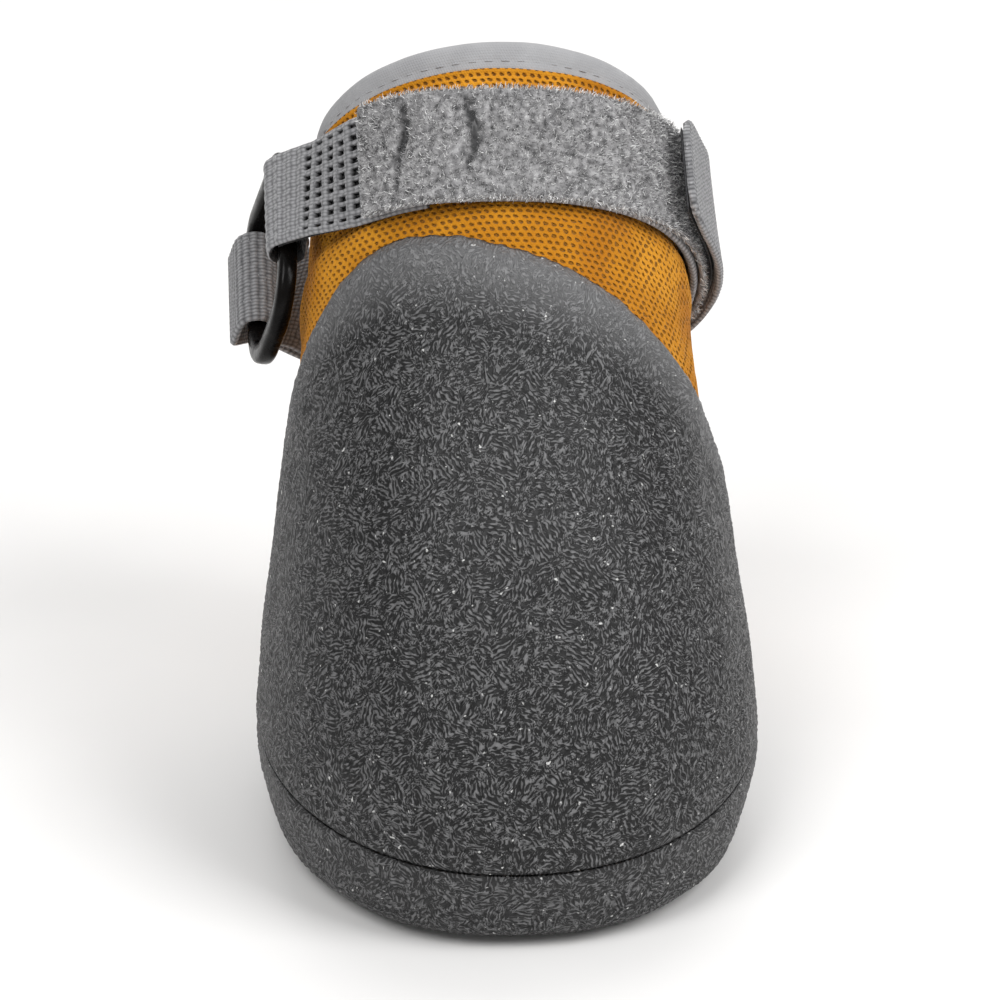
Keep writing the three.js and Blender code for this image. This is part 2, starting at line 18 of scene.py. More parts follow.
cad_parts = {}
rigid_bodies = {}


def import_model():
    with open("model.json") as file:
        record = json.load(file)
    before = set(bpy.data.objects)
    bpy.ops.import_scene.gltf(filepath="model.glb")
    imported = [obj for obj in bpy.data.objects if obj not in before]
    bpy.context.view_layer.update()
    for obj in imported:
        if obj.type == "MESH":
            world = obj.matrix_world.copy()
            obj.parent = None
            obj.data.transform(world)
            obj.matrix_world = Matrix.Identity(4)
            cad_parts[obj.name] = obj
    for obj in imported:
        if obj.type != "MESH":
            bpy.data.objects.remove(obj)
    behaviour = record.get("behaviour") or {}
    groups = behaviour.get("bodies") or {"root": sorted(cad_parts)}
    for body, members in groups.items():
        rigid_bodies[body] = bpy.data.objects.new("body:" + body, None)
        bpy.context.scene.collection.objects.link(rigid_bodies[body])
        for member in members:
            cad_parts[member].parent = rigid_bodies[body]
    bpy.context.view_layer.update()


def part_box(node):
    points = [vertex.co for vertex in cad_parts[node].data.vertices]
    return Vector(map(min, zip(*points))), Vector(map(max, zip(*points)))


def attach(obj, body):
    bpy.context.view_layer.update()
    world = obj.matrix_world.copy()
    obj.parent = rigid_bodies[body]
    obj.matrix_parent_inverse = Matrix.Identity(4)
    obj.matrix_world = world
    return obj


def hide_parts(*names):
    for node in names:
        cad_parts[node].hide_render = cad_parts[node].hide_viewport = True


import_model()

log = logging.getLogger("dog_boot")
MM = 0.001
FULL_TURN = 2 * math.pi


class Slot(Enum):
    """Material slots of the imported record."""

    SOLE = "sole_rubber"
    INSOLE = "insole_foam"
    MESH = "air_mesh"
    CAP = "cap_rubber"
    BINDING = "binding"
    ELASTIC = "elastic"
    WEBBING = "webbing"
    PILE = "loop_pile"
    HOOKS = "hook_tape"
    RING = "ring_plastic"


class Bar(Enum):
    """The two bars of the ring that straps fold round."""

    FRONT = -1
    REAR = 1


# Materials: each finish is one real material with the process that made it


def linear(code: str) -> tuple[float, float, float, float]:
    """Turns an sRGB hex colour to linear light.

    Args:
        code: Six hex digits, such as "cf8a26".

    Returns:
        Red, green, blue and a full alpha.
    """
    parts = [int(code[at:at + 2], 16) / 255 for at in (0, 2, 4)]
    red, green, blue = (p / 12.92 if p <= 0.04045 else ((p + 0.055) / 1.055) ** 2.4 for p in parts)
    return red, green, blue, 1.0


def add_node(
    tree: bpy.types.NodeTree, kind: str, inputs: dict | None = None, stops: tuple = (), **settings
) -> bpy.types.Node:
    """Adds a node with its settings, values, links and colour stops.

    Args:
        tree: The material's node tree.
        kind: The node's type.
        inputs: A value, a node or a socket for each named or numbered input.
        stops: Pairs of a place from 0 to 1 and an sRGB hex colour, for a colour ramp.
        settings: The node's own properties.

    Returns:
        The new node.
    """
    node = tree.nodes.new(kind)
    for key, value in settings.items():
        setattr(node, key, value)
    for key, value in (inputs or {}).items():
        source = value.outputs[0] if isinstance(value, bpy.types.Node) else value
        if isinstance(source, bpy.types.NodeSocket):
            tree.links.new(source, node.inputs[key])
        else:
            node.inputs[key].default_value = source
    for index, (place, code) in enumerate(stops):
        marks = node.color_ramp.elements
        mark = marks[index] if index < len(marks) else marks.new(place)
        mark.position, mark.color = place, linear(code)
    return node


def per_metre(size: float) -> float:
    """Texture scale in object space for a pattern of a size in millimetres."""
    return 1 / (size * MM)


class Pattern(Enum):
    """What a finish's tint and relief follow: its knit, its grain or the piece's own relief."""

    KNIT = "knit"
    GRAIN = "grain"
    RELIEF = "relief"


@dataclass(frozen=True)
class Finish:
    """A real material with its surface treatment."""

    name: str = "plain"
    roughness: float = 0.8
    ior: float = 1.5
    gloss: float = 0.5
    sheen: float = 0.0
    # Pairs of a place on the finish's main pattern and the colour there, and that pattern
    tones: tuple = ()
    tinted_by: Pattern = Pattern.GRAIN
    # Pairs of a pattern and its depth in millimetres
    raised: tuple = ()
    # Pitch along and across, shear and looseness of the knit, and size and detail of the grain
    knit: tuple = (1.0, 1.0, 0.0, 0.0)
    speck: tuple = (1.0, 2.0)

    def dress(self, tree: bpy.types.NodeTree, shader: bpy.types.Node) -> None:
        """Tints by one pattern and adds the relief of others; a richer finish has its own way.

        Args:
            tree: The material's node tree.
            shader: The surface shader.
        """
        wanted = {self.tinted_by, *(pattern for pattern, _ in self.raised)}
        made = {}
        if Pattern.KNIT in wanted:
            made[Pattern.KNIT] = self.cells(tree, *self.knit)
        if Pattern.GRAIN in wanted:
            made[Pattern.GRAIN] = self.grain(tree, *self.speck)
        if Pattern.RELIEF in wanted:
            own_relief = add_node(tree, "ShaderNodeAttribute", attribute_name="relief")
            made[Pattern.RELIEF] = own_relief.outputs["Fac"]
        tint = add_node(tree, "ShaderNodeValToRGB", {"Fac": made[self.tinted_by]}, self.tones)
        heights = tuple((made[pattern], depth) for pattern, depth in self.raised)
        self.coat(tree, shader, tint.outputs[0], heights)

    def material(self) -> bpy.types.Material:
        """Makes the material once.

        Returns:
            The material, new or already made.
        """
        known = bpy.data.materials.get(self.name)
        if known:
            return known
        made = bpy.data.materials.new(self.name)
        made.use_nodes = True
        tree = made.node_tree
        tree.nodes.clear()
        values = {"Roughness": self.roughness, "IOR": self.ior, "Specular IOR Level": self.gloss}
        values |= {"Sheen Weight": self.sheen, "Sheen Roughness": 0.5}
        shader = add_node(tree, "ShaderNodeBsdfPrincipled", values)
        add_node(tree, "ShaderNodeOutputMaterial", {"Surface": shader})
        self.dress(tree, shader)
        return made

    def spread(self, tree: bpy.types.NodeTree) -> bpy.types.Node:
        """Reads the cloth's flat coordinates: along, across and a share set by each piece."""
        flat = add_node(tree, "ShaderNodeAttribute", attribute_name="flat")
        return add_node(tree, "ShaderNodeSeparateXYZ", {0: flat.outputs["Vector"]})

    def cells(
        self, tree: bpy.types.NodeTree, along: float, across: float, shear: float, loose: float
    ) -> bpy.types.Node:
        """A regular knit of cells on the cloth's own flat coordinates.

        Args:
            tree: The material's node tree.
            along: Pitch of the cells along the cloth, in millimetres.
            across: Pitch of its rows, in millimetres.
            shear: How far each row is shifted, in cells.
            loose: How far the cells stray, from 0 to 1.

        Returns:
            A Voronoi node; its distance is 0 in the middle of a cell.
        """
        parts = self.spread(tree)
        row = add_node(tree, "ShaderNodeMath", {0: parts.outputs[1], 1: 1 / across}, operation="MULTIPLY")
        lean = add_node(tree, "ShaderNodeMath", {0: row, 1: shear}, operation="MULTIPLY")
        inputs = {0: parts.outputs[0], 1: 1 / along, 2: lean}
        column = add_node(tree, "ShaderNodeMath", inputs, operation="MULTIPLY_ADD")
        spot = add_node(tree, "ShaderNodeCombineXYZ", {0: column, 1: row})
        inputs = {"Vector": spot, "Scale": 1.0, "Randomness": loose}
        return add_node(tree, "ShaderNodeTexVoronoi", inputs, voronoi_dimensions="2D")

    def grain(self, tree: bpy.types.NodeTree, size: float, detail: float = 3.0) -> bpy.types.Node:
        """Noise in object space.

        Args:
            tree: The material's node tree.
            size: The size of a grain in millimetres.
            detail: How many finer layers it has.

        Returns:
            The noise node.
        """
        place = add_node(tree, "ShaderNodeTexCoord").outputs["Object"]
        inputs = {"Vector": place, "Scale": per_metre(size), "Detail": detail}
        return add_node(tree, "ShaderNodeTexNoise", inputs)

    def coat(
        self, tree: bpy.types.NodeTree, shader: bpy.types.Node, colour: bpy.types.NodeSocket,
        heights: tuple = (),
    ) -> None:
        """Gives the shader its colour and a chain of bumps.

        Args:
            tree: The material's node tree.
            shader: The surface shader.
            colour: The socket of its base colour.
            heights: Pairs of a height, as a node or socket, and its depth in millimetres.
        """
        tree.links.new(colour, shader.inputs["Base Color"])
        last = None
        for height, depth in heights:
            inputs = {"Height": height, "Strength": 1.0, "Distance": depth * MM}
            last = add_node(tree, "ShaderNodeBump", inputs | ({"Normal": last} if last else {}))
        if last:
            tree.links.new(last.outputs[0], shader.inputs["Normal"])


@dataclass(frozen=True)
class CrinkledRubber(Finish):
    """Natural rubber, moulded with a crinkled grain: painted shade in the valleys, painted highlights on the
    ridges, painted light on lit parts and white specks painted as glints.
    """

    name: str = "natural_rubber_crinkled"
    roughness: float = 0.48
    ior: float = 1.52
    gloss: float = 0.35
    tones: tuple = ((0.08, "070708"), (0.45, "1b1b1c"), (0.95, "6b6b6c"))
    # Painted light: the paler grey that lit parts of the rubber are tinted towards
    painted_light: str = "949495"
    # Painted glints: white specks in the colour, and how strongly they show
    painted_glint: str = "e6e6e4"
    glint_share: float = 0.7
    # Strokes: the patch that has one direction and their pitch, in millimetres, then how far they
    # bend and break, where they start and end in their wave, and their share of the tint
    patch: float = 2.3
    stroke: float = 0.6
    bend: float = 7.5
    breaks: float = 5.0
    edge: tuple = (1.9, 3.4)
    stroke_share: float = 0.62

    def dress(self, tree: bpy.types.NodeTree, shader: bpy.types.Node) -> None:
        """Tints by the height of the wrinkles and finer strokes, painted shade in the valleys and painted
        highlights on the ridges; adds painted light where a piece marks it, white specks painted as glints,
        and a grain.

        Args:
            tree: The material's node tree.
            shader: The surface shader.
        """
        place = add_node(tree, "ShaderNodeTexCoord").outputs["Object"]
        inputs = {"Vector": place, "Scale": per_metre(self.patch)}
        patches = add_node(tree, "ShaderNodeTexVoronoi", inputs)
        inputs = {0: place, 1: patches.outputs["Position"]}
        near = add_node(tree, "ShaderNodeVectorMath", inputs, operation="SUBTRACT")
        inputs = {0: patches.outputs["Color"], 1: (0.5, 0.5, 0.5)}
        chance = add_node(tree, "ShaderNodeVectorMath", inputs, operation="SUBTRACT")
        # Each patch has its own direction in the surface
        normal = add_node(tree, "ShaderNodeNewGeometry").outputs["True Normal"]
        inputs = {0: normal, 1: chance}
        across = add_node(tree, "ShaderNodeVectorMath", inputs, operation="CROSS_PRODUCT")
        across = add_node(tree, "ShaderNodeVectorMath", {0: across}, operation="NORMALIZE")
        along = add_node(tree, "ShaderNodeVectorMath", {0: near, 1: across}, operation="DOT_PRODUCT")
        inputs = {0: along.outputs["Value"], 1: FULL_TURN * per_metre(self.stroke)}
        wave = add_node(tree, "ShaderNodeMath", inputs, operation="MULTIPLY")
        inputs = {0: self.grain(tree, size=1.1, detail=0.0), 1: self.bend, 2: wave}
        wave = add_node(tree, "ShaderNodeMath", inputs, operation="MULTIPLY_ADD")
        wave = add_node(tree, "ShaderNodeMath", {0: wave}, operation="SINE")
        inputs = {0: self.grain(tree, size=0.8, detail=1.0), 1: self.breaks, 2: wave}
        worms = add_node(tree, "ShaderNodeMath", inputs, operation="MULTIPLY_ADD")
        inputs = {"Value": worms, "From Min": self.edge[0], "From Max": self.edge[1]}
        fine = add_node(tree, "ShaderNodeMapRange", inputs, interpolation_type="SMOOTHSTEP")
        relief = add_node(tree, "ShaderNodeAttribute", attribute_name="relief").outputs["Fac"]
        inputs = {0: relief, 1: 1 - self.stroke_share}
        low = add_node(tree, "ShaderNodeMath", inputs, operation="MULTIPLY")
        inputs = {0: fine, 1: self.stroke_share, 2: low}
        both = add_node(tree, "ShaderNodeMath", inputs, operation="MULTIPLY_ADD")
        # Painted shade and highlights: low wrinkles and strokes are tinted near black, high ones pale
        tint = add_node(tree, "ShaderNodeValToRGB", {"Fac": both}, self.tones)
        # Painted light: the share that a piece marks in its flat coordinates tints the rubber paler
        inputs = {0: self.spread(tree).outputs[2], 6: tint, 7: linear(self.painted_light)}
        painted_light = add_node(tree, "ShaderNodeMix", inputs, data_type="RGBA").outputs[2]
        # Painted glints: sparse white specks
        inputs = {"Value": self.grain(tree, size=0.75, detail=1.0), "From Min": 0.72, "From Max": 0.80}
        specks = add_node(tree, "ShaderNodeMapRange", inputs, interpolation_type="SMOOTHSTEP")
        faint = add_node(tree, "ShaderNodeMath", {0: specks, 1: self.glint_share}, operation="MULTIPLY")
        inputs = {0: faint, 6: painted_light, 7: linear(self.painted_glint)}
        colour = add_node(tree, "ShaderNodeMix", inputs, data_type="RGBA").outputs[2]
        self.coat(tree, shader, colour, ((self.grain(tree, size=0.3), 0.08), (fine, 0.16)))


@dataclass(frozen=True)
class AirMesh(Finish):
    """Polyester air mesh, warp knitted: rows of slanted pinholes in a soft ochre yarn."""

    name: str = "polyester_air_mesh_knitted"
    roughness: float = 0.85
    gloss: float = 0.2
    sheen: float = 0.05
    tones: tuple = ((0.35, "ae6d0e"), (0.52, "bd7c14"), (0.7, "ce8c20"))
    # Painted shade in the pinholes
    hole: str = "8a5a12"
    lining: str = "8d6a35"
    pitch: float = 1.18
    row: float = 0.86
    shear: float = 0.5
    hole_share: float = 0.21

    def dress(self, tree: bpy.types.NodeTree, shader: bpy.types.Node) -> None:
        """Pinholes, yarn and slow changes of tone.

        Args:
            tree: The material's node tree.
            shader: The surface shader.
        """
        holes = self.cells(tree, self.pitch, self.row, self.shear, loose=0.12)
        inputs = {0: self.grain(tree, size=0.6, detail=2.0), 1: 0.25, 2: holes}
        ragged = add_node(tree, "ShaderNodeMath", inputs, operation="MULTIPLY_ADD")
        inputs = {"Value": ragged, "From Min": self.hole_share + 0.02, "From Max": self.hole_share + 0.24}
        solid = add_node(tree, "ShaderNodeMapRange", inputs, interpolation_type="SMOOTHSTEP")
        slow = self.grain(tree, size=9.0, detail=2.0)
        yarn = add_node(tree, "ShaderNodeValToRGB", {"Fac": slow}, self.tones)
        inputs = {0: self.spread(tree).outputs[2], 6: yarn, 7: linear(self.lining)}
        cloth = add_node(tree, "ShaderNodeMix", inputs, data_type="RGBA").outputs[2]
        # Painted shade: the pinholes are tinted dark
        inputs = {0: solid, 6: linear(self.hole), 7: cloth}
        colour = add_node(tree, "ShaderNodeMix", inputs, data_type="RGBA").outputs[2]
        knit = self.cells(tree, along=0.42, across=0.32, shear=0.5, loose=0.35)
        self.coat(tree, shader, colour, ((knit, 0.10), (solid, 0.35)))


@dataclass(frozen=True)
class StretchBinding(Finish):
    """Elastane binding tape, folded and sewn: smooth pale grey with a very fine knit."""

    name: str = "elastane_binding_sewn"
    roughness: float = 0.7
    sheen: float = 0.15
    tones: tuple = ((0.35, "939395"), (0.6, "99999b"))
    raised: tuple = ((Pattern.KNIT, 0.08),)
    knit: tuple = (0.45, 0.4, 0.5, 0.2)
    speck: tuple = (4.0, 3.0)


@dataclass(frozen=True)
class KnitWebbing(Finish):
    """Nylon webbing, knitted: grey ribs across its width, each a row of small loops."""

    name: str = "nylon_webbing_knitted"
    roughness: float = 0.78
    sheen: float = 0.2
    tones: tuple = ((0.1, "aaaaac"), (0.38, "828284"), (0.62, "4c4c4e"))
    # Painted shade on the inner face: its dark grey and how far the face is tinted towards it
    under: str = "3c3c3e"
    shadowed: float = 0.3

    def dress(self, tree: bpy.types.NodeTree, shader: bpy.types.Node) -> None:
        """Loops in rows, with painted highlights on their crests, painted shade in their grooves and on the
        inner face.

        Args:
            tree: The material's node tree.
            shader: The surface shader.
        """
        loops = self.cells(tree, along=1.0, across=0.6, shear=0.0, loose=0.2)
        tint = add_node(tree, "ShaderNodeValToRGB", {"Fac": loops}, self.tones)
        speck = self.grain(tree, size=0.4, detail=2.0)
        inputs = {"Value": speck, "From Min": 0.6, "From Max": 0.72}
        salt = add_node(tree, "ShaderNodeMapRange", inputs, interpolation_type="SMOOTHSTEP")
        inputs = {0: salt, 6: tint, 7: linear(self.tones[0][1])}
        face = add_node(tree, "ShaderNodeMix", inputs, data_type="RGBA").outputs[2]
        # Painted shade: the inner face, marked 1 in the flat coordinates, is tinted darker
        inputs = {0: self.spread(tree).outputs[2], 1: self.shadowed}
        shaded = add_node(tree, "ShaderNodeMath", inputs, operation="MULTIPLY")
        inputs = {0: shaded, 6: face, 7: linear(self.under)}
        colour = add_node(tree, "ShaderNodeMix", inputs, data_type="RGBA").outputs[2]
        raised = add_node(tree, "ShaderNodeMath", {0: 1.0, 1: loops}, operation="SUBTRACT")
        self.coat(tree, shader, colour, ((raised, 0.18), (speck, 0.08)))


@dataclass(frozen=True)
class GridElastic(KnitWebbing):
    """Open grid elastic, crocheted: mid grey cords with a covered rubber core."""

    name: str = "rubber_elastic_crocheted"
    tones: tuple = ((0.1, "99999b"), (0.38, "7e7e80"), (0.62, "5c5c5e"))
    # Painted shade: the inner face and the layer behind the slots are tinted near black
    under: str = "19191b"
    shadowed: float = 1.0


@dataclass(frozen=True)
class LoopPile(Finish):
    """Nylon loop pile, brushed: salt and pepper fuzz, each hair with its own grey."""

    name: str = "nylon_loop_pile_brushed"
    roughness: float = 0.85
    gloss: float = 0.35
    sheen: float = 0.2
    tones: tuple = ((0.05, "414142"), (0.4, "a5a4a5"), (0.97, "f6f6f5"))
    tinted_by: Pattern = Pattern.RELIEF
    raised: tuple = ((Pattern.GRAIN, 0.5),)
    speck: tuple = (0.7, 4.0)


@dataclass(frozen=True)
class HookTape(Finish):
    """Nylon hook tape, woven with cut hooks: near black with a slight plastic shine."""

    name: str = "nylon_hook_tape_woven"
    roughness: float = 0.45
    tones: tuple = ((0.2, "454547"), (0.6, "262628"))
    tinted_by: Pattern = Pattern.KNIT
    raised: tuple = ((Pattern.KNIT, 0.15),)
    knit: tuple = (0.8, 0.8, 0.0, 0.2)


@dataclass(frozen=True)
class MouldedAcetal(Finish):
    """Acetal, injection moulded and glossy: black with a warm tint and faint flow marks."""

    name: str = "acetal_moulded_gloss"
    roughness: float = 0.3
    ior: float = 1.45
    gloss: float = 0.13
    tones: tuple = ((0.35, "050404"), (0.7, "0d0b0a"))
    raised: tuple = ((Pattern.GRAIN, 0.05),)
    speck: tuple = (6.0, 2.0)
    polished: float = 0.18
    scuffed: float = 0.38

    def dress(self, tree: bpy.types.NodeTree, shader: bpy.types.Node) -> None:
        """Faint flow marks, and scuffs in the gloss.

        Args:
            tree: The material's node tree.
            shader: The surface shader.
        """
        super().dress(tree, shader)
        inputs = {"Value": self.grain(tree, size=1.2, detail=5.0), "From Min": 0.35, "From Max": 0.75}
        inputs |= {"To Min": self.polished, "To Max": self.scuffed}
        dull = add_node(tree, "ShaderNodeMapRange", inputs)
        tree.links.new(dull.outputs[0], shader.inputs["Roughness"])


@dataclass(frozen=True)
class FoamBoard(Finish):
    """EVA foam board, faced with brushed tricot: soft dark grey with a fine nap."""

    name: str = "eva_foam_tricot_faced"
    roughness: float = 0.92
    sheen: float = 0.3
    tones: tuple = ((0.35, "3a3a3d"), (0.7, "55555a"))
    raised: tuple = ((Pattern.KNIT, 0.12), (Pattern.GRAIN, 0.1))
    knit: tuple = (0.9, 0.7, 0.5, 0.2)
    speck: tuple = (1.5, 4.0)


@dataclass(frozen=True)
class SewingThread(Finish):
    """Polyester thread, twisted: a soft shine and a fine slanting ply."""

    name: str = "polyester_thread_twisted"
    roughness: float = 0.6
    sheen: float = 0.1
    tones: tuple = ((0.2, "a8a8aa"), (0.6, "8c8c8e"))
    tinted_by: Pattern = Pattern.KNIT
    raised: tuple = ((Pattern.KNIT, 0.06),)
    knit: tuple = (0.28, 0.5, 0.8, 0.0)


@dataclass(frozen=True)
class PaperSweep(Finish):
    """Coated paper backdrop, matt: nearly white with a faint tooth."""

    name: str = "paper_backdrop_matt"
    roughness: float = 0.85
    tones: tuple = ((0.3, "e6e5e4"), (0.7, "ecebea"))
    speck: tuple = (60.0, 2.0)


# Meshes: numbered points in millimetres, with what the materials read at each


@dataclass
class Skin:
    """Points, faces and what the materials read at each point; grids of points are laid out flat."""

    points: np.ndarray
    faces: list
    flat: np.ndarray | None = None
    relief: np.ndarray | None = None

    def __post_init__(self) -> None:
        """Lays the points out in one list and gives each its flat coordinates and relief."""
        self.points = self.points.reshape(-1, 3)
        count = len(self.points)
        self.flat = np.zeros((count, 3)) if self.flat is None else self.flat.reshape(count, 3)
        self.relief = np.zeros(count) if self.relief is None else self.relief.ravel()

    def joined(self, other: "Skin") -> "Skin":
        """Puts this skin and another together.

        Args:
            other: The other skin.

        Returns:
            Both as one.
        """
        offset = len(self.points)
        faces = self.faces + [[corner + offset for corner in face] for face in other.faces]
        pairs = ((self.points, other.points), (self.flat, other.flat), (self.relief, other.relief))
        points, flat, relief = (np.concatenate(pair) for pair in pairs)
        return Skin(points, faces, flat, relief)

    def outward(self) -> "Skin":
        """Turns the faces of a closed skin outwards, by the sign of its volume.

        Returns:
            The skin itself.
        """
        fans = np.array([(face[0], *pair) for face in self.faces for pair in zip(face[1:], face[2:])])
        one, two, three = (self.points[fans[:, at]] - self.points[0] for at in range(3))
        if np.einsum("ij,ij->", one, np.cross(two, three)) < 0:
            self.faces = [face[::-1] for face in self.faces]
        return self

    def to_object(self, name: str, finish: Finish) -> bpy.types.Object:
        """Makes the Blender object.

        Args:
            name: The piece's name.
            finish: Its finish.

        Returns:
            The object, linked to the scene.
        """
        mesh = bpy.data.meshes.new(name)
        mesh.from_pydata((self.points * MM).tolist(), [], self.faces)
        layers = (("flat", "FLOAT_VECTOR", "vector", self.flat), ("relief", "FLOAT", "value", self.relief))
        for label, kind, key, values in layers:
            held = mesh.attributes.new(label, kind, "POINT")
            held.data.foreach_set(key, values.astype(np.float32).ravel())
        mesh.shade_smooth()
        mesh.materials.append(finish.material())
        made = bpy.data.objects.new(name, mesh)
        bpy.context.collection.objects.link(made)
        return made

    def piece(self, name: str, finish: Finish, slot: Slot, *nodes: str) -> None:
        """Makes the object and fixes it to the boot, as own does."""
        own(self.to_object(name, finish), slot, *nodes)


def lattice(rows: int, columns: int, wrap_rows: bool, wrap_columns: bool) -> list:
    """Quads over a grid of points.

    Args:
        rows: Rows of points.
        columns: Points in each row.
        wrap_rows: Whether the last row joins the first.
        wrap_columns: Whether each row is a closed ring.

    Returns:
        Lists of four point numbers.
    """
    index = np.arange(rows * columns).reshape(rows, columns)
    if wrap_rows:
        index = np.vstack((index, index[:1]))
    if wrap_columns:
        index = np.hstack((index, index[:, :1]))
    quads = np.stack((index[:-1, :-1], index[:-1, 1:], index[1:, 1:], index[1:, :-1]), -1)
    return quads.reshape(-1, 4).tolist()


def noise_at(points: np.ndarray, size: float, seed: float) -> np.ndarray:
    """Smooth noise from -1 to 1 at points in millimetres.

    Args:
        points: Any array of points.
        size: The size of its lumps in millimetres.
        seed: A shift that makes it differ from other noise.

    Returns:
        One value a point.
    """
    spots = (points.reshape(-1, 3) / size + seed).tolist()
    values = np.fromiter((noise.noise(spot) for spot in spots), float, len(spots))
    return values.reshape(points.shape[:-1])


def smooth(value: np.ndarray, low: float, high: float) -> np.ndarray:
    """A soft step from 0 at low to 1 at high."""
    share = np.clip((value - low) / (high - low), 0, 1)
    return share * share * (3 - 2 * share)


def unit(vector: np.ndarray) -> np.ndarray:
    """The vector at length 1."""
    return vector / np.linalg.norm(vector, axis=-1, keepdims=True)


def own(made: bpy.types.Object, slot: Slot, *nodes: str) -> None:
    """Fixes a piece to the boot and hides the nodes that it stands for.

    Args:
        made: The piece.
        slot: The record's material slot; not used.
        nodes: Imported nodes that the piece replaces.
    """
    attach(made, "root")
    if nodes:
        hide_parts(*nodes)
    log.info("%s: %d faces, stands for %s", made.name, len(made.data.polygons), ", ".join(nodes) or "nothing")


def travelled(points: np.ndarray) -> np.ndarray:
    """Distance of each point from the first row, along its own column.

    Args:
        points: One line of points, or rows of them.

    Returns:
        Millimetres.
    """
    steps = np.diff(points, axis=0, prepend=points[:1])
    return np.cumsum(np.linalg.norm(steps, axis=-1), axis=0)


def capped(stack: np.ndarray) -> tuple[np.ndarray, list]:
    """Closes a stack of rings with a fan over its first and its last.

    Args:
        stack: Rows of points, each row a closed ring.

    Returns:
        The points, with the two hubs last, and the faces.
    """
    rows, columns = stack.shape[:2]
    points = np.vstack((stack.reshape(-1, 3), stack[0].mean(0), stack[-1].mean(0)))
    faces = lattice(rows, columns, False, True)
    ring = np.arange(columns)
    after = np.roll(ring, -1)
    for hub, start, first, second in ((0, 0, after, ring), (1, (rows - 1) * columns, ring, after)):
        fan = (np.full(columns, rows * columns + hub), start + first, start + second)
        faces += np.stack(fan, -1).tolist()
    return points, faces


# The form of the boot


